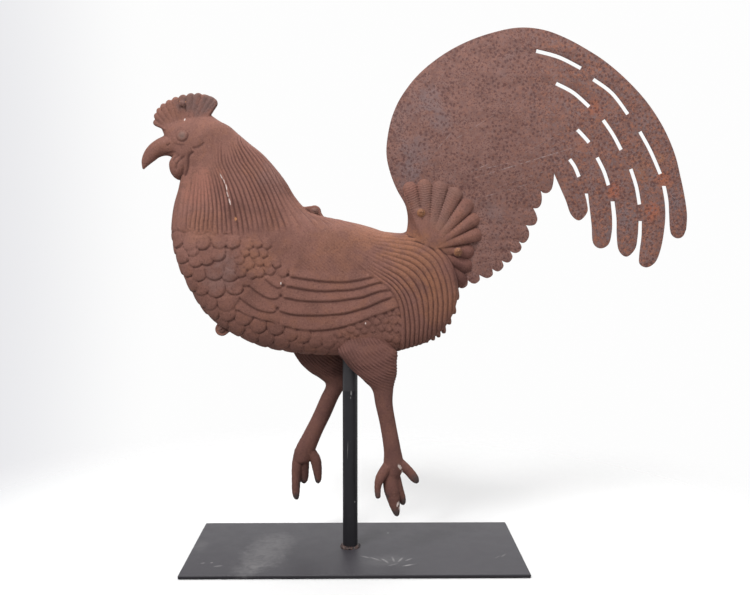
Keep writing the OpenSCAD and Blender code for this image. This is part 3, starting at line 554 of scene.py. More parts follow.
class Bench:
    """Common ways of making, joining and finishing meshes."""

    ALL = (bpy.ops.mesh.select_all, {"action": "SELECT"})
    OUTWARDS = (bpy.ops.mesh.normals_make_consistent, {"inside": False})

    @staticmethod
    def clear() -> None:
        """Selects nothing, in object mode."""
        if bpy.context.object and bpy.context.object.mode != "OBJECT":
            bpy.ops.object.mode_set(mode="OBJECT")
        bpy.ops.object.select_all(action="DESELECT")

    @staticmethod
    def take(obj: Piece) -> None:
        """Makes one object the only selected and the active one."""
        Bench.clear()
        obj.select_set(True)
        bpy.context.view_layer.objects.active = obj

    @staticmethod
    def link(name: str, data: bpy.types.ID) -> Piece:
        """Puts a mesh, a curve, a lamp or a camera into the scene as an object."""
        obj = bpy.data.objects.new(name, data)
        bpy.context.scene.collection.objects.link(obj)
        return obj

    @staticmethod
    def edit(obj: Piece, *steps: tuple) -> None:
        """Runs mesh operators on an object in edit mode.

        Args:
            obj: the object.
            steps: pairs of an operator and its settings.
        """
        Bench.take(obj)
        bpy.ops.object.mode_set(mode="EDIT")
        for operator, settings in steps:
            operator(**settings)
        bpy.ops.object.mode_set(mode="OBJECT")

    @staticmethod
    def loft(name: str, rings: np.ndarray, hoop: bool = False) -> Piece:
        """Makes a closed solid through rings that all hold as many points.

        Args:
            name: its name.
            rings: array of rings, points and coordinates, in millimetres.
            hoop: whether the last ring runs on into the first, instead of both being filled.

        Returns:
            The new object.
        """
        m, n = rings.shape[:2]
        i, j = np.meshgrid(np.arange(m if hoop else m - 1), np.arange(n), indexing="ij")
        k, after = (j + 1) % n, (i + 1) % m
        quads = np.stack([i * n + j, i * n + k, after * n + k, after * n + j], -1)
        faces = quads.reshape(-1, 4).tolist()
        if not hoop:
            faces += [list(range(n))[::-1], list(range((m - 1) * n, m * n))]
        mesh = bpy.data.meshes.new(name)
        mesh.from_pydata((rings.reshape(-1, 3) * MM).tolist(), [], faces)
        mesh.update()
        obj = Bench.link(name, mesh)
        Bench.edit(obj, Bench.ALL, Bench.OUTWARDS)
        return obj

    @staticmethod
    def lathe(name: str, rows: tuple, sides: int, x: float = 0.0, z: float = 0.0) -> Piece:
        """Makes a round solid through rows of (place across, radius) on an axis along Y."""
        rings = [[(x + r * math.cos(a), y, z + r * math.sin(a)) for a in turns(sides)]
                 for y, r in rows]
        return Bench.loft(name, np.array(rings))

    @staticmethod
    def sweep(name: str, middle: np.ndarray, way: np.ndarray, radii: tuple, sides: int) -> Piece:
        """Makes a rounded limb.

        Args:
            name: its name.
            middle: middle of each ring.
            way: direction in the side view, x and z, that each ring stands square to.
            radii: radius of each ring in the side view, and across it.
            sides: points of a ring.

        Returns:
            The new object.
        """
        u, way = turns(sides), unit(way)
        x = middle[:, 0:1] - way[:, 1:2] * radii[0] * np.cos(u)
        y = middle[:, 1:2] + radii[1] * np.sin(u)
        z = middle[:, 2:3] + way[:, 0:1] * radii[0] * np.cos(u)
        return Bench.loft(name, np.stack([x, y, z], -1))

    @staticmethod
    def finish(obj: Piece, kind: str, **settings: object) -> None:
        """Adds a modifier with its settings and applies it."""
        Bench.take(obj)
        mod = obj.modifiers.new(kind.title(), kind)
        for key, value in settings.items():
            setattr(mod, key, value)
        bpy.ops.object.modifier_apply(modifier=mod.name)

    @staticmethod
    def join(parts: list, name: str) -> Piece:
        """Joins objects into the first of them.

        Args:
            parts: objects to join.
            name: name of the result.

        Returns:
            The joined object.
        """
        Bench.clear()
        for part in parts:
            part.select_set(True)
        bpy.context.view_layer.objects.active = parts[0]
        if len(parts) > 1:
            bpy.ops.object.join()
        parts[0].name = parts[0].data.name = name
        return parts[0]

    @staticmethod
    def made(name: str) -> Piece:
        """Names the object that was just added and moves its place into its mesh."""
        obj = bpy.context.object
        obj.name = obj.data.name = name
        Bench.take(obj)
        bpy.ops.object.transform_apply(location=True, rotation=True, scale=True)
        return obj

    @staticmethod
    def cut(obj: Piece, tool: Piece) -> None:
        """Takes one solid out of another and removes it."""
        Bench.finish(obj, "BOOLEAN", operation="DIFFERENCE", object=tool, solver="EXACT")
        bpy.data.objects.remove(tool, do_unlink=True)

    @staticmethod
    def read(rows: bpy.types.bpy_prop_collection, name: str) -> np.ndarray:
        """Table of one vector of each corner of a mesh."""
        flat = np.empty(len(rows) * 3)
        rows.foreach_get(name, flat)
        return flat.reshape(-1, 3)

    @staticmethod
    def points(obj: Piece) -> np.ndarray:
        """Corners of a mesh in millimetres."""
        return Bench.read(obj.data.vertices, "co") / MM

    @staticmethod
    def normals(obj: Piece) -> np.ndarray:
        """Normals at the corners of a mesh."""
        return Bench.read(obj.data.vertex_normals, "vector")

    @staticmethod
    def move(obj: Piece, points: np.ndarray) -> None:
        """Puts the corners of a mesh at new places, in millimetres."""
        obj.data.vertices.foreach_set("co", (points * MM).ravel())
        obj.data.update()

    @staticmethod
    def cast_skin(obj: Piece, grain: float, rounds: int) -> None:
        """Melts joined solids into one skin of even small faces.

        Args:
            obj: object of overlapping closed solids.
            grain: size of a face in millimetres.
            rounds: rounds of smoothing afterwards.
        """
        Bench.finish(obj, "REMESH", mode="VOXEL", voxel_size=grain * MM, adaptivity=0.0,
                     use_smooth_shade=True)
        if rounds:
            Bench.finish(obj, "SMOOTH", factor=0.5, iterations=rounds)

    @staticmethod
    def mark_hollows(obj: Piece, rounds: int, painted_shade: np.ndarray, full: float = 0.9) -> None:
        """Stores how hollow or raised each corner is, with the drawn painted shade, for the
        finishes, which paint shade into the hollows and a highlight onto the raised places.

        Args:
            obj: the piece, of even small faces.
            rounds: how wide the comparison with the surroundings is.
            painted_shade: painted shade drawn at each corner, from 0 to 1.
            full: height difference in millimetres that counts as fully hollow.
        """
        mesh = obj.data
        count = len(mesh.vertices)
        edges = np.empty(len(mesh.edges) * 2, dtype=np.int32)
        mesh.edges.foreach_get("vertices", edges)
        a, b = edges[0::2], edges[1::2]
        share = np.maximum(np.bincount(a, None, count) + np.bincount(b, None, count), 1)
        start = Bench.points(obj)
        now = start.copy()
        for _ in range(rounds):
            total = np.stack([np.bincount(a, now[b, c], count) + np.bincount(b, now[a, c], count)
                              for c in range(3)], 1)
            now = 0.4 * now + 0.6 * total / share[:, None]
        depth = ((now - start) * Bench.normals(obj)).sum(1)
        layer = mesh.attributes.new("hollow", "FLOAT", "POINT")
        hollow = np.clip(0.5 + 0.5 * depth / full, 0.0, 1.0)
        layer.data.foreach_set("value", np.maximum(hollow, 0.5 + 0.45 * painted_shade))

    @staticmethod
    def thin(obj: Piece, most: int = 196000) -> None:
        """Takes triangles out of the plainer places until no more than some are left."""
        count = sum(len(face.vertices) - 2 for face in obj.data.polygons)
        if count > most:
            Bench.finish(obj, "DECIMATE", ratio=most / count)

    @staticmethod
    def trim(obj: Piece, side: Side) -> None:
        """Cuts a casting off flat at its mating face."""
        Bench.edit(obj, Bench.ALL, (bpy.ops.mesh.bisect, {
            "plane_co": (0, side.value * PARTING * MM, 0), "plane_no": (0, side.value, 0),
            "use_fill": True, "clear_inner": True, "clear_outer": False}))

    @staticmethod
    def copied(obj: Piece, name: str) -> Piece:
        """Copies a piece, with a mesh of its own."""
        copy = Bench.link(name, obj.data.copy())
        copy.data.name = name
        return copy

    @staticmethod
    def mirror(obj: Piece) -> None:
        """Turns a piece into its opposite hand."""
        obj.data.transform(Matrix.Diagonal((1, -1, 1, 1)))
        obj.data.flip_normals()
        obj.data.update()

    @staticmethod
    def dress(obj: Piece, finish: Material, body: str, slot: str,
              nodes: tuple, angle: float = 40.0) -> None:
        """Gives a finished piece its material and its body, and hides the nodes that it stands for.

        Args:
            obj: the piece.
            finish: its material.
            body: body that it rides on.
            slot: not used.
            nodes: nodes that it stands for.
            angle: edges sharper than this many degrees stay crisp.
        """
        Bench.take(obj)
        bpy.ops.object.shade_smooth_by_angle(angle=math.radians(angle))
        obj.data.materials.clear()
        obj.data.materials.append(finish)
        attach(obj, body)
        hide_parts(*nodes)
        LOG.info("%s: %d faces", obj.name, len(obj.data.polygons))


@dataclass
class Castings:
    """The two hollow iron halves of the bird, without their legs."""

    body_half: float = 58.0
    roundness: float = 2.4
    grain: float = 1.1
    fan_depth: float = 24.0
    fan_foot: float = 3.4
    fan_focus: tuple = (128.0, 517.0)
    bore: float = 21.34
    tube_top: float = 534.3
    bore_foot: float = 280.0
    melt: int = 3
    hollow_reach: int = 16
    unroll_from: float = 52.0
    barb_pitch: float = 3.9
    body_rows: tuple = (
        (-314, 722, -231, 741, 0.16, 0), (-308, 707, -217, 731, 0.31, 0),
        (-302, 690, -200, 722, 0.41, 0), (-294, 670, -185, 709, 0.46, 0),
        (-282, 645, -166, 693, 0.49, 0), (-285, 620, -146, 677, 0.56, 0),
        (-293, 592, -126, 655, 0.66, 0), (-297, 562, -108, 631, 0.78, 0),
        (-295, 530, -92, 605, 0.88, 0), (-286, 492, -72, 584, 0.95, 0),
        (-268, 452, -44, 573, 0.99, 0), (-241, 411, -14, 567, 1.00, 0),
        (-203, 381, 14, 561, 0.99, 0), (-152, 357, 36, 555, 0.96, 0),
        (-98, 346, 54, 549, 0.92, 8), (-45, 343, 68, 547, 0.87, 24),
        (5, 345, 80, 546, 0.81, 48), (48, 348, 88, 546, 0.71, 73.5), (76, 352, 93, 548, 0.54, 89.2),
        (81, 352, 94, 548, 0.20, 94),
    )
    beak_rows: tuple = (
        (-292, 716, -290, 668, 17, 0), (-309, 706, -303, 673, 14, 0),
        (-321, 700, -315, 671, 11.5, 0), (-333, 691, -326, 664, 9, 0),
        (-342, 679, -334, 658, 6.5, 0), (-346.5, 665, -340, 653, 4, 0),
        (-345.5, 652, -343, 650, 1.5, 0),
    )
    wattle_rows: tuple = (
        (-293, 674, -266, 678, 18, 0), (-300, 662, -262, 664, 21, 0), (-299, 648, -266, 651, 20, 0),
        (-293, 638, -273, 641, 15, 0), (-286, 633, -281, 634, 6, 0),
    )
    comb_rim: tuple = (
        (-325, 723), (-323, 740), (-314, 754), (-299, 764), (-281, 771), (-260, 775),
        (-240, 774), (-224, 768), (-219, 759), (-226, 748),
    )
    comb_root: tuple = ((-306, 715), (-236, 733))
    comb_ribs: int = 14
    comb_serrated: int = 9
    fan_lobes: tuple = (
        (105, 118), (92, 119), (78, 118), (63, 117), (48, 112), (32, 105), (19, 97), (-2, 81),
        (-22, 83), (-41, 88),
    )
    fan_front: tuple = ((90, 535), (96, 553), (97, 574), (93, 594), (90, 612))
    ends: tuple = (
        ((166, 484), (178, 455), (181, 433), 4.2), ((160, 462), (172, 430), (176, 409), 4.4),
        ((151, 442), (164, 411), (168, 391), 4.4), ((142, 426), (155, 396), (159, 376), 4.4),
        ((134, 412), (146, 388), (150, 369), 4.2), ((126, 402), (137, 380), (141, 364), 4.0),
        ((119, 398), (127, 378), (130, 360), 3.8), ((111, 396), (118, 378), (121, 362), 3.8),
        ((102, 394), (108, 374), (111, 355), 4.0), ((92, 392), (97, 372), (99, 355), 4.0),
        ((84, 388), (88, 370), (89, 355), 3.6),
    )
    bosses: tuple = ((-276, 757, 8, 5.2), (118, 579, 21, 8.5), (180, 514, 20, 8.0))
    ears: tuple = (
        (-215, 384, 10, 11.5, (-185, 400), (-232, 412)),
        (-59, 581, 10, 10.5, (-40, 565), (-84, 588)),
    )
    eye: tuple = (-273, 704, 14, 8.5)

    def half_rings(self, rows: tuple, steps: int, columns: int, power: float,
                   deep: float) -> np.ndarray:
        """Rings of a half form on the near side, closed behind the parting plane.

        Args:
            rows: stations [front x, front z, back x, back z, depth, bulge].
            steps: rings between stations.
            columns: faces across.
            power: exponent that rounds the section.
            deep: length of a depth of 1.

        Returns:
            Array of rings.
        """
        at = curve_through(rows, steps)
        u = np.linspace(0.0, np.pi, columns + 1)
        front, chord = at[:, None, 0:2], at[:, None, 2:4] - at[:, None, 0:2]
        out = unit(np.concatenate([chord[..., 1:], -chord[..., :1]], -1))
        p = front + chord * (1 - np.cos(u))[None, :, None] / 2
        p = p + out * at[:, None, 5:6] * np.sin(u)[None, :, None]
        y = -crown(u, power)[None, :] * at[:, 4:5] * deep
        return self.closed(np.stack([p[..., 0], y, p[..., 1]], -1))

    @staticmethod
    def closed(arcs: np.ndarray) -> np.ndarray:
        """Closes arcs of the near side behind the parting plane."""
        behind = arcs[:, [-1, 0]].copy()
        behind[..., 1] = PAST
        return np.concatenate([arcs, behind], 1)

    def body(self) -> Piece:
        """Head, neck, breast, back and rump in one form."""
        rings = self.half_rings(self.body_rows, 8, 80, self.roundness, self.body_half)
        end = rings[-1].copy()
        end[:, 1] = PAST + 1
        return Bench.loft("body_form", np.concatenate([rings, end[None]], 0))

    def strand_ends(self) -> list:
        """Rounded ends of the saddle feathers along the lower edge of the rump."""
        made = []
        for top, knee, tip, r in self.ends:
            mid = (0.5 * (top[0] + knee[0]) + 0.8, 0.5 * (top[1] + knee[1]))
            low = (tip[0] * 0.7 + knee[0] * 0.3 + 0.6, tip[1] * 0.7 + knee[1] * 0.3)
            path = curve_through(((*top, 0, 1.5, 8.0), (*mid, 0, 0.9 * r, 11.0),
                                  (*knee, 0, r, 12.0), (*low, 0, r, 10.0),
                                  (*tip, 0, 0.62 * r, 5.0)), 6)
            made.append(Bench.sweep("strand_end", path[:, [0, 2, 1]],
                                    np.gradient(path[:, :2], axis=0),
                                    (path[:, 3:4], path[:, 4:5]), 24))
        return made

    def leaf(self, name: str, roots: np.ndarray, tips: np.ndarray, shares: tuple,
             depth: np.ndarray) -> Piece:
        """Half form spread between two lines, closed behind the parting plane.

        Args:
            name: its name.
            roots: points of the inner line, x and z.
            tips: points of the outer line.
            shares: places from the inner to the outer line, from 0 to 1.
            depth: depth at each share, and at each point too where it differs.

        Returns:
            The form.
        """
        flat = roots[:, None] + (tips - roots)[:, None] * np.array(shares)[:, None]
        depth = np.broadcast_to(depth, flat.shape[:2])
        return Bench.loft(name, self.closed(np.stack([flat[..., 0], -depth, flat[..., 1]], -1)))

    def fan_root(self) -> Piece:
        """Smooth root in front of the fan's first lobe, down to the back."""
        rim = curve_through(self.fan_front, 8)
        share = np.array((0.0, 0.3, 0.55, 0.75, 0.9, 0.97, 1.0))
        bow = 1.0 - np.maximum(share - 0.8, 0.0) * 2.0
        depth = self.fan_foot + self.fan_depth * (1.0 - (0.85 * share) ** 1.6) * bow
        return self.leaf("fan_root", np.tile(self.fan_focus, (len(rim), 1)), rim, share, depth)

    def comb(self) -> Piece:
        """Comb with its fan of ribs, serrated at the front."""
        t = np.linspace(0.0, 1.0, self.comb_ribs * 12 + 1)
        rim = spline(np.array(self.comb_rim, float), t * (len(self.comb_rim) - 1))
        first, last = np.array(self.comb_root)
        root = first + (last - first) * t[:, None]
        phase = (t * self.comb_ribs) % 1.0
        bow = np.sqrt(np.clip(1.0 - (2 * phase - 1) ** 2, 0.0, 1.0))
        front = ramp(self.comb_serrated + 0.6, self.comb_serrated - 0.6, t * self.comb_ribs)
        tooth = (0.6 + 4.4 * front) * (1.0 - bow) - 1.4 * front
        tip = rim + unit(root - rim) * tooth[:, None]
        share = np.array((0.0, 0.25, 0.5, 0.75, 0.93, 1.0))
        rib = 1.7 * (bow[:, None] - 0.6) * ramp(0.1, 0.5, share) * (share < 0.99)
        depth = np.array((10.0, 7.6, 6.4, 5.6, 4.4, 2.4)) + rib
        return self.leaf("comb_form", root, tip, share, depth)

    def fan(self) -> Piece:
        """Rounded tail coverts that spread over the root of the sheet."""
        lobes = np.array(self.fan_lobes, float)
        first, final = 1.5 * lobes[0] - 0.5 * lobes[1], 1.5 * lobes[-1] - 0.5 * lobes[-2]
        edges = np.vstack([first, 0.5 * (lobes[:-1] + lobes[1:]), final])[:, 0]
        at = np.arange(len(lobes) * 16 + 1) / 16
        lobe = np.minimum(at.astype(int), len(lobes) - 1)
        t = at - lobe
        angle = np.radians(edges[lobe] + (edges[lobe + 1] - edges[lobe]) * t)
        round_off = np.maximum(1.0 - (2 * t - 1) ** 2, 0.0)
        reach = lobes[lobe, 1] - 10.0 * (1.0 - np.sqrt(round_off))
        focus = np.tile(self.fan_focus, (len(at), 1))
        tips = focus + reach[:, None] * np.stack([np.cos(angle), np.sin(angle)], 1)
        share = np.array([0.0, 0.1, 0.25, 0.38, 0.5, 0.6, 0.7, 0.78, 0.85, 0.91, 0.955, 0.985, 1.0])
        bow = round_off[:, None] ** (1.0 - 0.55 * ramp(0.6, 0.95, share))
        swell = 4.2 * (bow - 0.7) * ramp(0.36, 0.88, share)
        shaft = bell(t[:, None] - 0.5, 0.08) * ramp(0.4, 0.6, share)
        drop = 2.4 * ramp(0.9, 1.0, share) ** 2
        depth = self.fan_foot + self.fan_depth * (1.0 - share**1.6) + swell + 0.3 * shaft - drop
        return self.leaf("fan_form", focus, tips, share, np.maximum(depth, 1.6))

    def lugs(self) -> list:
        """Bosses and ears round the bolts, and the ball of the eye."""
        made = [self.disc(*boss) for boss in self.bosses]
        for x, z, out, r, one, two in self.ears:
            made.append(self.disc(x, z, out, r))
            lean = math.atan2(z - (one[1] + two[1]) / 2, x - (one[0] + two[0]) / 2)
            tips = [(x + r * math.cos(lean + w), z + r * math.sin(lean + w)) for w in (1.05, -1.05)]
            rings = [[(px, y, pz) for px, pz in (*tips, one, two)] for y in (-out, PAST)]
            made.append(Bench.loft("ear_web", np.array(rings)))
        x, z, out, r = self.eye
        Bench.clear()
        bpy.ops.mesh.primitive_uv_sphere_add(segments=32, ring_count=16, radius=r * MM,
                                             location=(x * MM, -out * MM, z * MM))
        return made + [Bench.made("eye_ball")]

    def disc(self, x: float, z: float, out: float, r: float) -> Piece:
        """Round boss from behind the parting plane to its seat."""
        rows = ((PAST, r), (0.0, r), (-out + 1.2, r), (-out + 0.3, 0.96 * r), (-out, 0.88 * r))
        return Bench.lathe("boss", rows, 40, x, z)

    def unrolled(self, p: np.ndarray, n: np.ndarray, head: np.ndarray) -> tuple:
        """Place of each point in the side view, spread out where the surface turns away.

        Args:
            p: points of the near side in millimetres.
            n: their normals.
            head: 1 on the head, where nothing is spread.

        Returns:
            The x and z at which the feather map is read.
        """
        ratio = (LENS_AT[1] - MAP_Y) / (LENS_AT[1] - p[:, 1])
        x = LENS_AT[0] + (p[:, 0] - LENS_AT[0]) * ratio
        z = LENS_AT[2] + (p[:, 2] - LENS_AT[2]) * ratio
        flat = np.maximum(np.hypot(n[:, 0], n[:, 2]), 1e-6)
        tilt = np.arctan2(flat, np.abs(n[:, 1]))
        start = math.radians(self.unroll_from)
        over = np.clip(tilt - start, 0.0, None)
        radius = np.interp(p[:, 2], [560.0, 700.0], [46.0, 26.0])
        shift = radius * (over - (np.sin(start + over) - math.sin(start))) * (1.0 - head)
        return x + shift * n[:, 0] / flat, z + shift * n[:, 2] / flat

    def barbs(self, p: np.ndarray) -> np.ndarray:
        """Fine cross barbs on the lobes of the fan, at points in millimetres."""
        angles = np.array([lobe[0] for lobe in self.fan_lobes], float)[::-1]
        out = np.hypot(p[:, 0] - self.fan_focus[0], p[:, 2] - self.fan_focus[1])
        turn = np.degrees(np.arctan2(p[:, 2] - self.fan_focus[1], p[:, 0] - self.fan_focus[0]))
        at = np.interp(turn, angles, np.arange(len(angles)))
        aside = np.abs(at - np.round(at))
        wave = np.cos(2 * np.pi * (out / self.barb_pitch - 1.6 * aside))
        spread = ramp(44.0, 62.0, out) * ramp(118.0, 104.0, out)
        return 0.42 * wave * spread * (0.35 + 0.65 * ramp(4.5, 7.5, at))

    def carve(self, obj: Piece, form: Piece, feathers: FeatherMap) -> np.ndarray:
        """Raises the feathers on the skin of the near half.

        Args:
            obj: the cast skin.
            form: the body form, which tells plain skin from comb, fan and lugs.
            feathers: the feather map.

        Returns:
            The painted shade at each corner.
        """
        p, n = Bench.points(obj), Bench.normals(obj)
        tree = BVHTree.FromPolygons([v.co for v in form.data.vertices],
                                    [list(f.vertices) for f in form.data.polygons])
        gap = np.array([tree.find_nearest(Vector(q))[3] for q in (p * MM).tolist()]) / MM
        on_body = ramp(2.6, 1.0, gap)
        head = ramp(-212.0, -232.0, p[:, 0]) * ramp(628.0, 644.0, p[:, 2])
        head *= ramp(752.0, 738.0, p[:, 2])
        lug = np.ones(len(p))
        for x, z, _, r in self.bosses:
            lug *= ramp(r + 1.0, r + 5.0, np.hypot(p[:, 0] - x, p[:, 2] - z))
        weight = np.maximum(on_body, head) * lug
        x, z = self.unrolled(p, n, head)
        relief, painted_shade = feathers.sample(x, z)
        facing = ramp(0.0, 14.0, -p[:, 1])
        weight *= 0.7 + 0.3 * facing
        weight *= ramp(2.0, -1.0, p[:, 1])
        fan = self.barbs(p) * ramp(1.0, 2.6, gap) * ramp(0.5, 0.8, -n[:, 1]) * lug
        fan *= ramp(60.0, 80.0, p[:, 0])
        Bench.move(obj, p + n * (relief * weight + fan)[:, None])
        # Painted shade in the grooves between the fan's barbs.
        return painted_shade * weight + np.clip(-1.6 * fan, 0.0, 0.4)

    def build(self, feathers: FeatherMap) -> tuple:
        """Builds both halves.

        Args:
            feathers: the drawn feather map.

        Returns:
            The near and the far casting.
        """
        form = self.body()
        guide = Bench.copied(form, "body_guide")
        forms = [
            form, self.comb(), self.fan(), self.fan_root(),
            Bench.loft("beak", self.half_rings(self.beak_rows, 10, 32, 2.0, 1.0)),
            Bench.loft("wattle", self.half_rings(self.wattle_rows, 10, 32, 2.2, 1.0)),
        ] + self.lugs() + self.strand_ends()
        near = Bench.join(forms, "casting_near")
        Bench.cast_skin(near, self.grain, self.melt)
        painted_shade = self.carve(near, guide, feathers)
        Bench.finish(near, "SMOOTH", factor=0.35, iterations=1)
        bpy.data.objects.remove(guide, do_unlink=True)
        Bench.mark_hollows(near, self.hollow_reach, painted_shade)
        Bench.trim(near, Side.NEAR)
        Bench.thin(near)
        self.drill(near)
        far = Bench.copied(near, "casting_far")
        Bench.mirror(far)
        return near, far

    def drill(self, obj: Piece) -> None:
        """Bores the half-round channel in which the pivot tube is clamped."""
        Bench.clear()
        middle = (self.tube_top + self.bore_foot) / 2
        bpy.ops.mesh.primitive_cylinder_add(vertices=48, radius=self.bore / 2 * MM,
                                            depth=(self.tube_top - self.bore_foot) * MM,
                                            location=(0, 0, middle * MM))
        Bench.cut(obj, Bench.made("drill"))


@dataclass
class Leg:
    """One leg with its thigh, shank and toes."""

    name: str
    side: Side
    rows: tuple
    toes: tuple
    stance: float = 38.0
    grain: float = 1.0
    thigh_foot: float = 292.0
    stroke_centre: tuple = (99.0, 411.0)
    stroke_pitch: float = 5.0
    stroke_depth: float = 0.62
    scale_pitch: float = 7.5
    melt: int = 5
    hollow_reach: int = 18

    def limb(self, rows: tuple, sides: int, steps: int, thigh: bool) -> Piece:
        """Rounded limb along a table.

        Args:
            rows: stations [x, offset across, z, radius along, radius across].
            sides: points of a ring.
            steps: rings between stations.
            thigh: whether it is the thigh and scaly shank, in level rings, or else a toe.

        Returns:
            The closed form.
        """
        at = curve_through(rows, steps)
        if thigh:
            way = np.tile([0.0, -1.0], (len(at), 1))
            u, z = turns(sides)[None, :], at[:, 2:3]
            scaly = ramp(self.thigh_foot - 14, self.thigh_foot - 34, z)
            front = ramp(-0.1, 0.7, -np.cos(u))
            ring = np.abs(np.sin(np.pi * z / self.scale_pitch + 0.6 * np.cos(u)))
            relief = 0.3 * scaly * (0.35 + 0.65 * front) * (ring**0.6 - 0.75)
        else:
            way = np.gradient(at[:, [0, 2]], axis=0)
            length = np.linspace(0.0, 1.0, len(at))[:, None]
            ring = np.abs(np.sin(np.pi * length * 9.0))
            relief = 0.45 * (ring**0.6 - 0.75) * ramp(0.12, 0.3, length)
            relief = relief * ramp(1.0, 0.86, length)
        middle = at[:, :3] * (1, -1, 1) - (0, self.stance, 0)
        return Bench.sweep("limb", middle, way, (at[:, 3:4] + relief, at[:, 4:5] + relief), sides)

    def comb_thigh(self, leg: Piece) -> np.ndarray:
        """Cuts the short hair-like feathers of the thigh, as arcs round its upper rear corner.

        Args:
            leg: the leg's skin, on the near side.

        Returns:
            The painted shade in the grooves between the feathers at each corner.
        """
        p, n = Bench.points(leg), Bench.normals(leg)
        x, z = p[:, 0] - self.stroke_centre[0], p[:, 2] - self.stroke_centre[1]
        away, around = np.hypot(x, z), np.arctan2(z, x)
        wander = 1.3 * np.sin(4.0 * around + away / 15.0) + 0.7 * np.sin(11.0 * around)
        wave = np.cos(2 * np.pi * away / self.stroke_pitch + wander)
        broken = 0.72 + 0.28 * np.sin(23.0 * around + away / 5.0)
        reach = ramp(self.thigh_foot - 12, self.thigh_foot + 12, p[:, 2]) * broken
        Bench.move(leg, p + n * (self.stroke_depth * wave * reach)[:, None])
        # Painted shade in the grooves between the strokes.
        return 0.5 * np.clip(0.2 - wave, 0.0, 1.0) * reach

    def build(self) -> Piece:
        """Builds the leg on its own side of the parting plane."""
        forms = [self.limb(self.rows, 96, 16, True)]
        forms += [self.limb(self.rounded(toe), 28, 14, False) for toe in self.toes]
        leg = Bench.join(forms, self.name)
        Bench.cast_skin(leg, self.grain, self.melt)
        Bench.mark_hollows(leg, self.hollow_reach, self.comb_thigh(leg))
        if self.side is Side.FAR:
            Bench.mirror(leg)
        return leg

    def rounded(self, toe: tuple) -> tuple:
        """Adds a blunt claw to the end of a toe and a swelling to its middle joint."""
        rows = [list(row) for row in toe]
        tip, before = np.array(rows[-1], float), np.array(rows[-2], float)
        way = (tip - before)[:3] / np.linalg.norm((tip - before)[:3])
        end = tip.copy()
        end[:3] += way * tip[3] * 0.55
        end[3:] *= 0.35
        tip[:3] -= way * 1.0
        rows[1][3] *= 1.06
        rows[1][4] *= 1.06
        return tuple(map(tuple, rows[:-1] + [tip.tolist(), end.tolist()]))


NEAR_LEG = (
    (18, -22, 398, 6, 4), (19, -16, 390, 17, 8), (22, -9, 378, 27, 11), (25, -4, 366, 36, 14),
    (29, -1, 350, 49, 18), (35, 0, 333, 43, 20), (44, 0, 313, 34, 19), (51, 0, 297, 23, 16),
    (55, 0, 284, 17, 13.5), (57, 0, 261, 14.5, 12.5), (64, 0, 225, 13.5, 12),
    (71, 0, 184, 14.5, 12), (73, 0, 160, 17, 13), (71, 0, 143, 14, 11), (70, 0, 136, 8, 7),
)
FAR_LEG = (
    (-34, -22, 398, 6, 4), (-35, -16, 390, 18, 8), (-37, -9, 378, 30, 11), (-40, -4, 366, 43, 14),
    (-42, -1, 345, 58, 18), (-41, 0, 323, 49, 20), (-36, 0, 307, 38, 19), (-28, 0, 293, 25, 16),
    (-25, 0, 281, 18, 14), (-36, 0, 260, 16, 12.5), (-51, 0, 226, 16, 12),
    (-66, 0, 196, 16.5, 12), (-78, 0, 170, 18, 13), (-84, 0, 150, 16, 11), (-85, 0, 143, 9, 7),
)
NEAR_TOES = (
    ((64, 4, 160, 9, 9), (51, 9, 141, 7.6, 7.5), (46.5, 11, 125, 5.8, 5.6),
     (46.8, 11, 108, 4.4, 4.4)),
    ((68, 0, 158, 12, 10), (68.5, 1, 125, 12.2, 9.5), (73, 2, 101, 10.4, 8.4),
     (76.5, 2, 85, 7.4, 6.8), (79, 2, 75, 4.6, 4.6)),
    ((75, -3, 142, 9, 8), (80, -5, 118, 9, 8), (87, -7, 102, 6.8, 6.6), (89.5, -8, 91, 4.6, 4.6)),
    ((80, 0, 166, 8, 9), (91, 0, 156, 7.8, 8), (99, 0, 148, 7.8, 7.6), (107, 0, 138, 7.4, 7),
     (112, 0, 131, 5.2, 5.2)),
)
FAR_TOES = (
    ((-88, 4, 166, 10, 10), (-93.5, 2, 140, 9, 9), (-95.5, 0, 110, 7.8, 7.8),
     (-96, 0, 91, 6.8, 6.6), (-95, 0, 80, 4.6, 4.6)),
    ((-82, 4, 156, 10, 10), (-83.5, 7, 135, 10, 9), (-83, 8, 117, 9, 8.4), (-82, 8, 108, 6.6, 6.4)),
    ((-72, 0, 166, 9, 10), (-62, 0, 150, 9, 9), (-58.5, 0, 133, 8.4, 8), (-57, 0, 117, 6.4, 6.4),
     (-57, 0, 109, 4.6, 4.6)),
)


TAIL_CREST = (
    (92, 530), (96, 552), (98, 573), (92, 594), (78, 619), (67, 647), (61, 676), (63, 707),
    (71, 741), (87, 774), (116, 810), (157, 842), (202, 865), (250, 880), (286, 885), (322, 881),
    (356, 869), (391, 851), (426, 829), (462, 799), (496, 763), (524, 722), (544, 679), (555, 640),
    (563, 606), (567.6, 577), (567, 553),
)
TAIL_FEATHERS = (
    ((567, 553), (562, 541), (553, 537), (544, 542), (540, 553), (538, 578), (536, 602),
     (531, 625)),
    ((524, 625), (529, 600), (531, 575), (529, 545), (524, 517), (516, 497), (502, 488),
     (490, 494), (489, 510), (492, 540), (492, 566)),
    ((486, 566), (485, 540), (481, 519), (467, 506), (454, 517), (450, 542), (449, 570),
     (445, 599)),
    ((438, 599), (441, 572), (441, 548), (436, 527), (422, 520), (410, 530), (407, 560),
     (400, 612)),
    ((394, 612), (398, 597), (399, 581), (386, 567), (372, 577), (363, 600), (353, 622),
     (342, 646)),
)
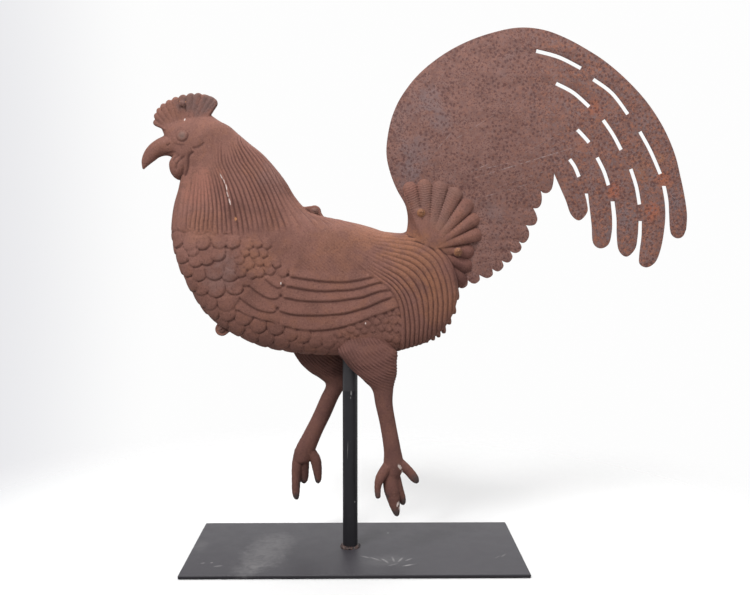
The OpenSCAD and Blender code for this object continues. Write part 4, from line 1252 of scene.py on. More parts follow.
# Lapped scallops of the lower edge, each from its shoulder round its tip into the next notch
TAIL_SCALLOPS = (
    ((342, 646), (341, 631), (338, 619), (332, 613), (325, 613), (320, 617)),
    ((320, 617), (322, 606), (321, 595), (316, 588), (308, 587)),
    ((308, 587), (313, 577), (315, 568), (311, 560), (303, 558), (296, 559)),
    ((296, 559), (301, 549), (301, 539), (296, 531), (290, 529), (284, 532)),
    ((284, 532), (289, 523), (286, 515), (278, 512), (270, 515)),
    ((270, 515), (274, 506), (270, 498), (264, 496), (256, 499)),
    ((256, 499), (259, 490), (254, 483), (248, 481), (240, 485)),
    ((240, 485), (241, 476), (236, 471), (229, 470), (218, 475)),
    ((218, 475), (219, 467), (213, 461), (206, 461), (199, 466)),
    ((199, 466), (198, 458), (192, 453), (186, 453), (181, 457)),
)
TAIL_ROOT = ((166, 447), (142, 462), (120, 486), (100, 512))
TAIL_SLOTS = (
    ((309, 847), (347, 837), (384, 819)), ((405, 801), (437, 778), (464, 744)),
    ((485, 715), (504, 682), (521, 645)), ((343, 794), (372, 779), (399, 756)),
    ((423, 734), (440, 710), (454, 685)), ((471, 653), (481, 624), (487, 594)),
    ((380, 718), (390, 708), (400, 697)), ((414, 672), (426, 649), (434, 626)),
    ((368, 669), (377, 656), (384, 640)),
)


@dataclass
class Tail:
    """Pierced and scalloped sheet with softened edges."""

    thick: float = 3.2
    slot: float = 6.5
    edge: float = 0.5
    bolts: tuple = ((118, 579), (180, 514))
    bolt_r: float = 4.25

    def outline(self) -> np.ndarray:
        """Outer edge of the sheet, in order."""
        parts = [curve_through(TAIL_CREST, 6)]
        parts += [curve_through(line, 6) for line in TAIL_FEATHERS]
        parts += [curve_through(line, 5) for line in TAIL_SCALLOPS]
        parts.append(np.array(TAIL_ROOT, float))
        edge = np.concatenate(parts)
        apart = np.linalg.norm(np.roll(edge, -1, 0) - edge, axis=1)
        return edge[apart > 0.3]

    def slot_edge(self, line: tuple) -> np.ndarray:
        """Edge of a slot of even width along a curved middle line."""
        mid = curve_through(line, 8)
        along = unit(np.gradient(mid, axis=0))
        aside = np.stack([-along[:, 1], along[:, 0]], 1) * self.slot / 2
        return np.concatenate([mid + aside, (mid - aside)[::-1]])

    def build(self) -> Piece:
        """Fills the outline round its slots and bolt holes, and gives it its thickness."""
        curve = bpy.data.curves.new("tail_outline", "CURVE")
        curve.dimensions = "2D"
        curve.fill_mode = "BOTH"
        curve.extrude = (self.thick / 2 - self.edge) * MM
        curve.bevel_depth = self.edge * MM
        curve.bevel_resolution = 1
        curve.offset = -self.edge * MM
        u = turns(32)
        circles = [np.stack([x + self.bolt_r * np.cos(u), z + self.bolt_r * np.sin(u)], 1)
                   for x, z in self.bolts]
        for points in [self.outline()] + [self.slot_edge(line) for line in TAIL_SLOTS] + circles:
            edge = curve.splines.new("POLY")
            edge.points.add(len(points) - 1)
            for point, (x, z) in zip(edge.points, points):
                point.co = (x * MM, z * MM, 0.0, 1.0)
            edge.use_cyclic_u = True
        sheet = Bench.link("tail_sheet", curve)
        sheet.rotation_euler = (math.pi / 2, 0.0, 0.0)
        Bench.take(sheet)
        bpy.ops.object.convert(target="MESH")
        sheet = Bench.made("tail_sheet")
        weld = (bpy.ops.mesh.remove_doubles, {"threshold": 0.02 * MM})
        Bench.edit(sheet, Bench.ALL, weld, Bench.OUTWARDS)
        return sheet


@dataclass
class Stand:
    """Painted plate and post with the weld bead between them."""

    plate: tuple = (559.0, 254.0, 6.35)
    shift: float = 9.0
    post_r: float = 12.7
    post_wall: float = 3.2
    post_top: float = 335.0
    weld_leg: float = 4.3
    ripples: int = 17
    corner: float = 2.0
    broken: float = 0.6

    def base_plate(self) -> Piece:
        """Flat plate with rounded corners and lightly broken edges."""
        Bench.clear()
        wide, deep, thick = self.plate
        bpy.ops.mesh.primitive_cube_add(size=1.0, location=(self.shift * MM, 0, thick / 2 * MM),
                                        scale=(wide * MM, deep * MM, thick * MM))
        plate = Bench.made("floor_plate")
        Bench.edit(plate, (bpy.ops.mesh.select_all, {"action": "DESELECT"}))
        for edge in plate.data.edges:
            a, b = (plate.data.vertices[k].co for k in edge.vertices)
            edge.select = abs(a.x - b.x) < 1e-6 and abs(a.y - b.y) < 1e-6
        Bench.edit(plate, (bpy.ops.mesh.bevel, {"offset": self.corner * MM, "segments": 4}))
        Bench.finish(plate, "BEVEL", width=self.broken * MM, segments=2,
                     limit_method="ANGLE", angle_limit=math.radians(60.0))
        return plate

    def post(self) -> Piece:
        """Pipe post, open at its ends, its top edge broken."""
        r, bore = self.post_r, self.post_r - self.post_wall
        foot, top = self.plate[2], self.post_top
        profile = [(bore, foot), (r, foot), (r, foot + 40), (r, foot + 120), (r, foot + 220),
                   (r, top - self.broken), (r - self.broken, top), (bore + 0.4, top),
                   (bore, top - 0.4)]
        return self.turned("pipe_post", [profile] * 64)

    def turned(self, name: str, profiles: list) -> Piece:
        """Closed ring through profiles of (radius, height) spread evenly round the axis."""
        rings = [[(r * math.cos(a), r * math.sin(a), z) for r, z in profile]
                 for a, profile in zip(turns(len(profiles)), profiles)]
        return Bench.loft(name, np.array(rings), True)

    def weld(self) -> Piece:
        """Rippled fillet bead round the post's foot."""
        sides, rows = 416, 10
        base = self.plate[2]
        profiles = []
        for i, a in enumerate(turns(sides)):
            phase = (self.ripples * i / sides) % 1.0
            bump = 0.8 * (1.0 - (2 * phase - 1) ** 2) - 0.4
            bump += 0.5 * math.sin(3 * a + 1) + 0.4 * math.sin(7 * a) + 0.3 * math.sin(12 * a + 0.6)
            ring = [(self.post_r - 1.0, base - 0.5)]
            for k in range(rows):
                w = math.pi / 2 * k / (rows - 1)
                leg = self.weld_leg + 0.5 * math.sin(2 * a + 0.7) + bump * math.sin(2 * w)
                ring.append((self.post_r + leg * math.cos(w) ** 1.15,
                             base + leg * math.sin(w) ** 1.15))
            profiles.append(ring + [(self.post_r - 1.0, base + self.weld_leg)])
        return self.turned("weld_bead", profiles)


@dataclass
class Fastener:
    """Slotted round-headed bolt with its square nut."""

    name: str
    x: float
    z: float
    out: float
    shank: float
    turn: float = 0.0
    spread: float = 0.88
    nut_side: float = 1.7
    nut_high: float = 0.8

    def bolt(self) -> Piece:
        """Bolt with a domed and slotted head on the near side."""
        head, high = self.shank * self.spread, self.shank * 0.42
        below = 2 * self.out + self.shank * self.nut_high + 3.0
        dome = (head * head + high * high) / (2 * high)
        rows = [(-high, POINT)]
        for k in range(1, 9):
            r = head * k / 8
            rows.append((dome - high - math.sqrt(dome * dome - r * r), r))
        rows += [(0.0, head), (0.0, self.shank / 2), (below - CHAMFER, self.shank / 2),
                 (below, self.shank / 2 - CHAMFER), (below, POINT)]
        bolt = Bench.lathe(self.name, rows, 32)
        Bench.clear()
        bpy.ops.mesh.primitive_cube_add(size=1.0, location=(0, -high * MM, 0),
                                        rotation=(0, math.radians(self.turn), 0),
                                        scale=(head * 2.4 * MM, high * 0.8 * MM,
                                               self.shank * 0.2 * MM))
        Bench.cut(bolt, Bench.made("slot"))
        bolt.data.transform(Matrix.Translation((self.x * MM, -self.out * MM, self.z * MM)))
        return bolt

    def nut(self) -> Piece:
        """Square nut with a chamfered face on the far side."""
        side, high = self.shank * self.nut_side, self.shank * self.nut_high
        Bench.clear()
        bpy.ops.mesh.primitive_cube_add(size=1.0, location=(0, high / 2 * MM, 0),
                                        scale=(side * MM, high * MM, side * MM))
        nut = Bench.made(self.name.replace("bolt", "nut"))
        Bench.finish(nut, "BEVEL", width=0.6 * MM, segments=2)
        Bench.clear()
        bpy.ops.mesh.primitive_cylinder_add(vertices=32, radius=(self.shank / 2 + 0.02) * MM,
                                            depth=4 * high * MM, rotation=(math.pi / 2, 0, 0))
        Bench.cut(nut, Bench.made("nut_bore"))
        nut.data.transform(Matrix.Translation((self.x * MM, self.out * MM, self.z * MM)))
        return nut


class Wiring:
    """Short hand for the nodes of one material or one node group."""

    def __init__(self, tree: Tree) -> None:
        """Keeps the node tree."""
        self.tree = tree

    def add(self, kind: str, **values: object) -> Node:
        """Adds a shader node; values name its settings or, with underscores, its inputs."""
        node = self.tree.nodes.new("ShaderNode" + kind)
        for key, value in values.items():
            if hasattr(node, key):
                setattr(node, key, value)
            else:
                self.feed(node, key.replace("_", " ").title(), value)
        return node

    def feed(self, node: Node, name: str | int, value: object) -> None:
        """Links or sets one input of a node."""
        socket = node.inputs[name]
        if isinstance(value, Socket):
            self.tree.links.new(value, socket)
        else:
            socket.default_value = value

    def place(self) -> Socket:
        """Object coordinates."""
        return self.add("TexCoord").outputs["Object"]

    def noise(self, at: Socket, scale: float, detail: float = 3.0,
              rough: float = 0.55, warp: float = 0.0) -> Socket:
        """Cloudy value between 0 and 1."""
        return self.add("TexNoise", vector=at, scale=scale, detail=detail,
                        roughness=rough, distortion=warp).outputs["Fac"]

    def between(self, value: Socket, low: float, high: float,
                start: object = 0.0, end: object = 1.0) -> Socket:
        """Maps a value smoothly from a range to another."""
        return self.add("MapRange", interpolation_type="SMOOTHSTEP", value=value,
                        from_min=low, from_max=high, to_min=start, to_max=end).outputs["Result"]

    def pair(self, kind: str, operation: str, a: object, b: object) -> Node:
        """Node that works on two inputs."""
        node = self.add(kind, operation=operation)
        self.feed(node, 0, a)
        self.feed(node, 1, b)
        return node

    def sum(self, kind: str, a: object, b: object = 0.0) -> Socket:
        """Combines two values by a math node."""
        return self.pair("Math", kind, a, b).outputs[0]

    def vector(self, kind: str, a: object, b: tuple = (0.0, 0.0, 0.0)) -> Node:
        """Combines two vectors."""
        return self.pair("VectorMath", kind, a, b)

    def blend(self, share: object, a: object, b: object) -> Socket:
        """Mixes two colours."""
        node = self.add("Mix", data_type="RGBA")
        for index, value in ((0, share), (6, a), (7, b)):
            if isinstance(value, tuple):
                value = (*value, 1.0)
            self.feed(node, index, value)
        return node.outputs[2]

    def lay(self, colour: object, tint: object, value: Socket, low: float, high: float,
            most: float = 1.0, least: float = 0.0) -> Socket:
        """Lays a tint over a colour where a value rises from low to high."""
        return self.blend(self.between(value, low, high, least, most), colour, tint)

    def surface(self, shader: Node, colour: Socket, rough: object, shine: float = 0.5) -> None:
        """Feeds the colour, the roughness and the shine of a shader."""
        self.feed(shader, "Base Color", colour)
        self.feed(shader, "Roughness", rough)
        self.feed(shader, "Specular IOR Level", shine)

    def axis(self, at: Socket, name: str) -> Socket:
        """One of three coordinates."""
        return self.add("SeparateXYZ", vector=at).outputs[name]

    def beside(self, at: Socket, x: float, z: float) -> Socket:
        """Distance in the side view from a place given in millimetres."""
        flat = self.vector("MULTIPLY", at, (1.0, 0.0, 1.0)).outputs[0]
        return self.vector("DISTANCE", flat, (x * MM, 0.0, z * MM)).outputs["Value"]

    def streak(self, at: Socket, x: float, z: float, long: float, wide: float,
               lean: float, plan: bool = False) -> Socket:
        """Distance in the side view from the middle of a mark, which is 1 on its edge.

        Args:
            at: coordinates.
            x: place of the mark along the bird, in millimetres.
            z: its height, or its place across in plan view.
            long: half its length.
            wide: half its width.
            lean: turn of its length from upright towards +X, in degrees.
            plan: whether the mark lies in plan view.

        Returns:
            The distance.
        """
        turn = math.radians(lean)
        if plan:
            seen, place, size = (1.0, 1.0, 0.0), (x * MM, z * MM, 0.0), (wide * MM, long * MM, 1.0)
        else:
            seen, place, size = (1.0, 0.0, 1.0), (x * MM, 0.0, z * MM), (wide * MM, 1.0, long * MM)
        mark = self.add("Mapping", vector_type="TEXTURE", scale=size,
                        vector=self.vector("MULTIPLY", at, seen).outputs[0],
                        rotation=(0.0, 0.0, -turn) if plan else (0.0, turn, 0.0))
        self.feed(mark, "Location", place)
        return self.vector("LENGTH", mark.outputs[0]).outputs["Value"]

    def spots(self, at: Socket, scale: float, size: object, soft: float) -> Socket:
        """Mask of scattered ragged spots in the side view.

        Args:
            at: coordinates.
            scale: spots in a metre.
            size: their radius as a share of their spacing.
            soft: width of their edge, in the same share.

        Returns:
            The mask, 1 inside a spot.
        """
        flat = self.add("CombineXYZ", x=self.axis(at, "X"), y=self.axis(at, "Z"))
        node = self.add("TexVoronoi", voronoi_dimensions="2D", vector=flat.outputs[0],
                        scale=scale)
        ragged = self.sum("SUBTRACT", self.noise(at, 4.0 * scale, 3.0), 0.5)
        edge = self.sum("ADD", node.outputs["Distance"], self.sum("MULTIPLY", ragged, 0.85))
        return self.between(self.sum("SUBTRACT", size, edge), 0.0, soft)

    def tinted(self, at: Socket, colour: Socket, tints: tuple) -> Socket:
        """Lays soft cloudy patches of other colours over a colour.

        Args:
            at: coordinates.
            colour: the colour so far.
            tints: patches [x, z, radius in millimetres, strength, colour].

        Returns:
            The new colour.
        """
        cloud = self.sum("SUBTRACT", self.noise(at, 42.0, 5.0, 0.66), 0.5)
        for x, z, r, strength, tint in tints:
            edge = self.sum("ADD", self.beside(at, x, z), self.sum("MULTIPLY", cloud, 2.6 * r * MM))
            share = self.between(edge, r * MM, 0.2 * r * MM, 0.0, strength)
            colour = self.blend(share, colour, tint)
        return colour

    def mix(self, share: Socket, a: Node, b: Node, out: Node) -> None:
        """Mixes two shaders and sends the result to an output node."""
        node = self.add("MixShader")
        for index, value in enumerate((share, a.outputs[0], b.outputs[0])):
            self.feed(node, index, value)
        self.feed(out, 0, node.outputs[0])

    def bump(self, shader: Node, height: Socket, depth: float) -> None:
        """Roughens a shader's surface by a height of some metres at 1."""
        node = self.add("Bump", distance=depth)
        self.feed(node, "Height", height)
        self.feed(shader, "Normal", node.outputs["Normal"])


def start(name: str, base: tuple) -> tuple:
    """Starts a material.

    Args:
        name: its name.
        base: its plain colour.

    Returns:
        The material, its wiring, its shader and its Object coordinates.
    """
    mat = bpy.data.materials.new(name)
    mat.use_nodes = True
    mat.diffuse_color = (*base, 1.0)
    w = Wiring(mat.node_tree)
    return mat, w, mat.node_tree.nodes["Principled BSDF"], w.place()


def rust_group() -> Tree:
    """Weather that all rusted iron here shares: patches, speckle and grain.

    Returns:
        The node group, with Grain as input and Patch, Speckle and Height as outputs.
    """
    tree = bpy.data.node_groups.new("iron_weather", "ShaderNodeTree")
    tree.interface.new_socket("Grain", in_out="INPUT", socket_type="NodeSocketFloat")
    for name in ("Patch", "Speckle", "Height"):
        tree.interface.new_socket(name, in_out="OUTPUT", socket_type="NodeSocketFloat")
    w = Wiring(tree)
    source, sink = tree.nodes.new("NodeGroupInput"), tree.nodes.new("NodeGroupOutput")
    at = w.place()
    patch = w.noise(at, 16.0, 5.0, 0.62, 0.4)
    speckle = w.noise(at, 420.0, 4.0, 0.7)
    grain = w.noise(at, 900.0, 2.0, 0.6)
    lumps = w.noise(at, 230.0, 3.0, 0.6)
    height = w.sum("ADD", w.sum("MULTIPLY", grain, 0.6), w.sum("MULTIPLY", lumps, 0.9))
    w.feed(sink, "Patch", patch)
    w.feed(sink, "Speckle", speckle)
    w.feed(sink, "Height", w.sum("MULTIPLY", height, source.outputs["Grain"]))
    return tree


@dataclass(frozen=True)
class Iron:
    """Rusted cast iron: matte, dusted orange in places, with painted shade in its hollows and a
    painted highlight on its raised places.
    """

    name: str
    base: tuple
    dark: tuple
    orange: tuple
    pale: tuple
    rough: float = 0.82
    bump: float = 0.00055
    grain: float = 1.0
    hollows: bool = True
    deep: tuple = (0.100, 0.043, 0.035)
    tints: tuple = ()
    claws: tuple = ()
    marks: tuple = ()

    def make(self, weather: Tree) -> Material:
        """Builds the material.

        Args:
            weather: the shared group of rust effects.

        Returns:
            The new material.
        """
        mat, w, shader, at = start(self.name, self.base)
        iron = w.add("Group", node_tree=weather, grain=self.grain)
        speckle = iron.outputs["Speckle"]
        colour = w.lay(self.dark, self.base, iron.outputs["Patch"], 0.34, 0.58)
        colour = w.lay(colour, self.orange, w.noise(at, 34.0, 4.0, 0.62, 0.8), 0.44, 0.72, 0.3)
        colour = w.tinted(at, colour, self.tints)
        colour = w.lay(colour, self.deep, w.noise(at, 340.0, 3.0, 0.7), 0.52, 0.34, 0.42)
        colour = w.lay(colour, self.pale, speckle, 0.54, 0.70, 0.5)
        colour = w.lay(colour, PIT, w.noise(at, 330.0, 2.0, 0.5), 0.30, 0.40, 0.0, 0.32)
        if self.hollows:
            hollow = w.add("Attribute", attribute_name="hollow").outputs["Fac"]
            # Painted shade in the hollows and drawn creases, and a painted highlight on the raised
            # places.
            colour = w.lay(colour, HOLLOW_SHADE, hollow, 0.52, 0.90, 0.82)
            colour = w.lay(colour, self.pale, hollow, 0.48, 0.20, 0.44)
        colour = w.tinted(at, colour, self.claws)
        ragged = w.sum("MULTIPLY", w.sum("SUBTRACT", w.noise(at, 420.0, 3.0), 0.45), 2.2)
        near_side = w.between(w.axis(at, "Y"), 0.0, -0.002)
        for x, z, long, wide, lean, tint in self.marks:
            spot = w.sum("ADD", w.streak(at, x, z, long, wide, lean), ragged)
            mark = w.sum("MULTIPLY", w.between(spot, 1.25, 0.75), near_side)
            colour = w.blend(mark, colour, tint)
        rough = w.between(speckle, 0.3, 0.7, self.rough - 0.1, self.rough + 0.1)
        w.surface(shader, colour, rough, 0.32)
        w.bump(shader, iron.outputs["Height"], self.bump)
        return mat


@dataclass(frozen=True)
class SheetIron:
    """Rusted sheet: purplish brown, densely pitted, with blue-grey and orange patches."""

    name: str = "pitted_sheet"
    base: tuple = (0.226, 0.113, 0.092)
    dark: tuple = (0.130, 0.058, 0.048)
    cool: tuple = (0.190, 0.136, 0.138)
    orange: tuple = (0.330, 0.125, 0.070)
    tints: tuple = (
        (133, 766, 34, 0.45, (0.178, 0.136, 0.144)), (105, 679, 40, 0.42, (0.170, 0.128, 0.136)),
        (150, 733, 26, 0.4, (0.178, 0.136, 0.144)), (95, 640, 26, 0.45, (0.165, 0.120, 0.126)),
        (540, 600, 26, 0.5, (0.160, 0.132, 0.144)), (465, 568, 30, 0.4, (0.160, 0.128, 0.138)),
        (438, 546, 16, 0.4, (0.160, 0.128, 0.138)), (240, 585, 30, 0.25, (0.180, 0.138, 0.142)),
        (185, 585, 26, 0.7, (0.155, 0.120, 0.125)), (270, 700, 40, 0.4, (0.170, 0.080, 0.066)),
        (526, 636, 18, 0.9, (0.360, 0.112, 0.055)), (445, 617, 17, 0.85, (0.340, 0.105, 0.058)),
        (507, 582, 18, 0.8, (0.350, 0.108, 0.058)), (404, 752, 19, 0.75, (0.330, 0.108, 0.060)),
        (486, 652, 26, 0.5, (0.320, 0.140, 0.080)), (520, 670, 12, 0.6, (0.380, 0.160, 0.080)),
        (395, 690, 30, 0.4, (0.300, 0.120, 0.075)), (470, 700, 14, 0.5, (0.330, 0.120, 0.070)),
    )
    scratches: tuple = (
        (288, 662, 118, 1.0, 73, 0.6), (300, 640, 80, 0.8, 71, 0.5), (255, 660, 60, 0.8, 77, 0.5),
        (262, 617, 70, 0.8, 74, 0.45), (330, 700, 60, 0.7, 62, 0.4), (218, 655, 40, 0.8, 66, 0.5),
        (150, 690, 40, 0.8, 40, 0.4), (205, 720, 60, 0.7, 58, 0.35),
    )

    def make(self, weather: Tree) -> Material:
        """Builds the material.

        Args:
            weather: the shared group of rust effects.

        Returns:
            The new material.
        """
        mat, w, shader, at = start(self.name, self.base)
        iron = w.add("Group", node_tree=weather, grain=0.6)
        mottle = w.noise(at, 60.0, 5.0, 0.65, 0.3)
        colour = w.lay(self.dark, self.base, mottle, 0.34, 0.62, 1.0, 0.35)
        colour = w.lay(colour, self.cool, w.noise(at, 17.0, 4.0, 0.6, 0.5), 0.54, 0.72, 0.28)
        colour = w.tinted(at, colour, self.tints)
        busy = w.between(w.axis(at, "X"), 0.24, 0.42, 0.25, 1.0)
        fine = w.noise(at, 190.0, 4.0, 0.68)
        warm, cold = w.between(fine, 0.51, 0.64, 0.0, 0.75), w.between(fine, 0.47, 0.36, 0.0, 0.7)
        colour = w.blend(w.sum("MULTIPLY", warm, busy), colour, self.orange)
        colour = w.blend(w.sum("MULTIPLY", cold, busy), colour, self.cool)
        dense = w.noise(at, 22.0, 4.0, 0.6)
        large = w.spots(at, 124.0, w.between(dense, 0.34, 0.60, 0.12, 0.35), 0.15)
        sparse = w.noise(at, 30.0, 3.0)
        small = w.spots(at, 250.0, w.between(sparse, 0.38, 0.62, 0.14, 0.38), 0.2)
        tiny = w.between(w.noise(at, 600.0, 3.0, 0.62), 0.36, 0.44, 0.45, 0.0)
        pit = w.sum("MAXIMUM", w.sum("MULTIPLY", large, 0.72), w.sum("MULTIPLY", small, 0.6))
        pit = w.sum("MAXIMUM", pit, tiny)
        colour = w.blend(pit, colour, (0.078, 0.028, 0.026))
        colour = w.lay(colour, (0.34, 0.23, 0.20), iron.outputs["Speckle"], 0.58, 0.74, 0.5)
        broken = w.between(w.noise(at, 130.0, 3.0), 0.40, 0.62)
        for x, z, long, wide, lean, strength in self.scratches:
            line = w.between(w.streak(at, x, z, long, wide, lean), 1.0, 0.5, 0.0, strength)
            colour = w.blend(w.sum("MULTIPLY", line, broken), colour, (0.36, 0.29, 0.28))
        rough = w.between(iron.outputs["Speckle"], 0.3, 0.7, 0.62, 0.86)
        w.surface(shader, colour, rough, 0.4)
        height = w.sum("SUBTRACT", iron.outputs["Height"], w.sum("MULTIPLY", pit, 0.7))
        w.bump(shader, height, 0.0006)
        return mat


@dataclass(frozen=True)
class Paint:
    """Satin charcoal paint on steel, scuffed and dusty."""

    name: str = "charcoal_paint"
    base: tuple = (0.0210, 0.0195, 0.0235)
    dust: tuple = (0.30, 0.29, 0.29)
    rough: float = 0.42
    shine: float = 0.28
    rust: float = 0.0
    upper: tuple = ()
    scuffs: tuple = ()
    plan: bool = False

    def make(self) -> Material:
        """Builds the material and returns it."""
        mat, w, shader, at = start(self.name, self.base)
        dusty = w.noise(at, 9.0, 5.0, 0.62, 0.6)
        colour = w.lay(self.base, self.dust, dusty, 0.42, 0.74, 0.02)
        for height, tint in self.upper:
            colour = w.lay(colour, tint, w.axis(at, "Z"), height * MM, (height + 2) * MM)
        if self.rust:
            rusty = w.noise(at, 160.0, 4.0, 0.7)
            colour = w.lay(colour, (0.095, 0.052, 0.042), rusty, 0.42, 0.56, self.rust)
        colour = w.lay(colour, self.dust, w.noise(at, 520.0, 2.0), 0.68, 0.78, 0.18)
        cloud = w.between(w.noise(at, 60.0, 5.0, 0.62, 0.6), 0.30, 0.62, 0.35, 1.0)
        wispy = w.sum("MULTIPLY", w.sum("SUBTRACT", w.noise(at, 60.0, 4.0), 0.5), 1.4)
        for x, y, long, wide, lean, strength in self.scuffs:
            edge = w.sum("ADD", w.streak(at, x, y, long, wide, lean, self.plan), wispy)
            mask = w.sum("MULTIPLY", w.between(edge, 1.1, 0.3, 0.0, strength), cloud)
            colour = w.blend(mask, colour, self.dust)
        rough = w.between(w.noise(at, 40.0, 4.0, 0.65), 0.3, 0.7, self.rough - 0.02,
                          self.rough + 0.03)
        w.surface(shader, colour, rough, self.shine)
        w.bump(shader, w.noise(at, 600.0, 3.0, 0.6), 0.00012)
        return mat


@dataclass(frozen=True)
class Turned:
    """Bare turned metal of the hidden pivot, with lathe marks and stain."""

    name: str
    base: tuple
    stain: tuple
    rough: float = 0.34

    def make(self) -> Material:
        """Builds the material and returns it."""
        mat, w, shader, at = start(self.name, self.base)
        colour = w.lay(self.base, self.stain, w.noise(at, 70.0, 4.0, 0.6), 0.45, 0.7, 0.6)
        rough = w.between(w.noise(at, 200.0, 3.0), 0.3, 0.7, self.rough - 0.08, self.rough + 0.14)
        w.surface(shader, colour, rough)
        w.feed(shader, "Metallic", 1.0)
        lines = w.add("TexWave", bands_direction="Z", vector=at, scale=320.0,
                      distortion=0.4)
        w.bump(shader, lines.outputs["Fac"], 0.00004)
        return mat


@dataclass
class Studio:
    """Pale floor, soft light and the camera."""

    floor_colour: float = 0.745
    bounce: float = 0.35
    white: float = 1.0
    gloss: float = 0.6
    sky: float = 0.34
    # Painted shade on the backdrop: grey towards the camera's left, white ahead
    aside: tuple = (0.80, 0.80, 0.825)
    ahead: tuple = (0.985, 0.985, 0.985)
    camera_at: tuple = (0.02149, -1.47972, 0.54526)
    pitch: float = 4.19
    yaw: float = 0.80
    roll: float = 0.07
    lens: float = 42.17
    # Name, place, point that it faces, size and power
    lamps: tuple = (
        ("key", (-1.5, -2.1, 2.9), (0.05, 0, 0.5), 1.2, 112.0),
        ("fill", (2.2, -2.0, 1.6), (0.1, 0, 0.5), 2.0, 22.0),
        ("top", (0.1, 0.2, 3.0), (0.1, 0, 0.4), 2.2, 48.0),
        ("back", (0.4, 1.7, 2.8), (0.1, 0, 0.4), 2.0, 28.0),
    )

    def floor(self) -> None:
        """Large pale floor that keeps the shadow and melts into the backdrop further out."""
        Bench.clear()
        bpy.ops.mesh.primitive_circle_add(vertices=96, radius=6.0, fill_type="NGON",
                                          location=(0, 0, -0.0004))
        floor = Bench.made("studio_floor")
        mat, w, shader, at = start("studio_floor", (self.floor_colour,) * 3)
        seen = w.add("LightPath").outputs["Is Camera Ray"]
        shown = w.blend(seen, (self.bounce,) * 3, (self.floor_colour,) * 3)
        w.surface(shader, shown, 0.9, 0.1)
        far = w.between(w.vector("LENGTH", at).outputs["Value"], 0.45, 1.05)
        clear = w.add("BsdfTransparent")
        w.mix(far, shader, clear, mat.node_tree.nodes["Material Output"])
        floor.data.materials.append(mat)

    def lamp(self, name: str, at: tuple, aim: tuple, size: float, power: float) -> None:
        """Adds one soft square lamp that faces a point."""
        data = bpy.data.lights.new(name, "AREA")
        data.shape = "SQUARE"
        data.size = size
        data.energy = power
        lamp = Bench.link(name, data)
        lamp.location = at
        lamp.rotation_euler = (Vector(aim) - Vector(at)).to_track_quat("-Z", "Y").to_euler()

    def backdrop(self) -> None:
        """World that lights softly and shows white to the camera and in reflections, with painted
        shade turning it grey towards the left.
        """
        world = bpy.data.worlds.new("studio")
        bpy.context.scene.world = world
        world.use_nodes = True
        w = Wiring(world.node_tree)
        w.tree.nodes.clear()
        soft = w.add("Background", strength=self.sky)
        w.feed(soft, "Color", (1.0, 1.0, 1.0, 1.0))
        shown = w.add("Background", strength=self.white)
        look = w.axis(w.add("TexCoord").outputs["Generated"], "X")
        w.feed(shown, "Color", w.blend(w.between(look, -0.42, -0.22), self.aside, self.ahead))
        ray = w.add("LightPath")
        glossy = w.sum("MULTIPLY", ray.outputs["Is Glossy Ray"], self.gloss)
        seen = w.sum("MAXIMUM", ray.outputs["Is Camera Ray"], glossy)
        w.mix(seen, soft, shown, w.add("OutputWorld"))

    def camera(self) -> None:
        """Camera at the place and angle of the photograph."""
        data = bpy.data.cameras.new("photo_camera")
        data.sensor_width = 36.0
        data.lens = self.lens
        data.clip_end = 60.0
        cam = Bench.link("photo_camera", data)
        turn = (Matrix.Rotation(math.radians(-self.yaw), 4, "Z")
                @ Matrix.Rotation(math.radians(90.0 - self.pitch), 4, "X")
                @ Matrix.Rotation(math.radians(self.roll), 4, "Z"))
        cam.matrix_world = Matrix.Translation(self.camera_at) @ turn
        bpy.context.scene.camera = cam

    def build(self) -> None:
        """Sets the stage."""
        self.floor()
        self.backdrop()
        for lamp in self.lamps:
            self.lamp(*lamp)
        self.camera()
        bpy.context.scene.view_settings.view_transform = "Standard"


# Colours of the patches and marks, and of the painted shade in hollows, and where they lie in the
# side view
PIT, HOLLOW_SHADE = (0.040, 0.017, 0.014), (0.058, 0.021, 0.017)
PALE, TAN, CLAW = (0.62, 0.52, 0.48), (0.42, 0.19, 0.09), (0.066, 0.048, 0.046)
MAUVE, PINK, ROSE = (0.200, 0.118, 0.106), (0.290, 0.138, 0.112), (0.180, 0.074, 0.062)
AMBER, GREY = (0.285, 0.120, 0.062), (0.112, 0.072, 0.068)
CAST_TINTS = (
    (-262, 768, 34, 0.7, GREY), (-232, 764, 22, 0.7, GREY),
    (-273, 704, 9, 0.7, (0.165, 0.112, 0.096)), (-250, 590, 60, 0.35, PINK),
    (-264, 520, 40, 0.5, PINK), (-240, 560, 40, 0.3, AMBER), (-200, 505, 26, 0.55, MAUVE),
    (-214, 470, 34, 0.45, MAUVE), (-150, 505, 34, 0.4, AMBER), (110, 500, 70, 0.6, AMBER),
    (50, 548, 60, 0.35, AMBER), (150, 440, 60, 0.5, AMBER), (165, 490, 34, 0.35, ROSE),
    (-20, 520, 60, 0.25, AMBER), (150, 600, 60, 0.45, (0.165, 0.098, 0.084)),
    (196, 500, 36, 0.7, ROSE), (190, 472, 30, 0.8, (0.105, 0.042, 0.038)),
    (-240, 616, 44, 0.5, (0.300, 0.118, 0.082)), (-120, 640, 40, 0.35, MAUVE),
)
CAST_MARKS = (
    (-209, 637, 4.5, 0.8, -28, PALE), (-204, 629, 4.0, 0.7, -20, PALE),
    (-200, 619, 5.5, 1.0, -12, PALE), (-198, 608, 5.0, 0.9, -18, PALE),
    (-194, 596, 6.0, 1.3, -20, PALE), (-184, 568, 3.4, 1.8, 0, TAN),
    (-272, 732, 2.6, 1.2, 10, PALE), (-111, 464, 1.8, 1.2, 0, PALE),
    (26, 398, 1.6, 1.0, 0, PALE), (-281, 762, 1.0, 0.7, 0, TAN), (-271, 761, 0.9, 0.7, 0, TAN),
)
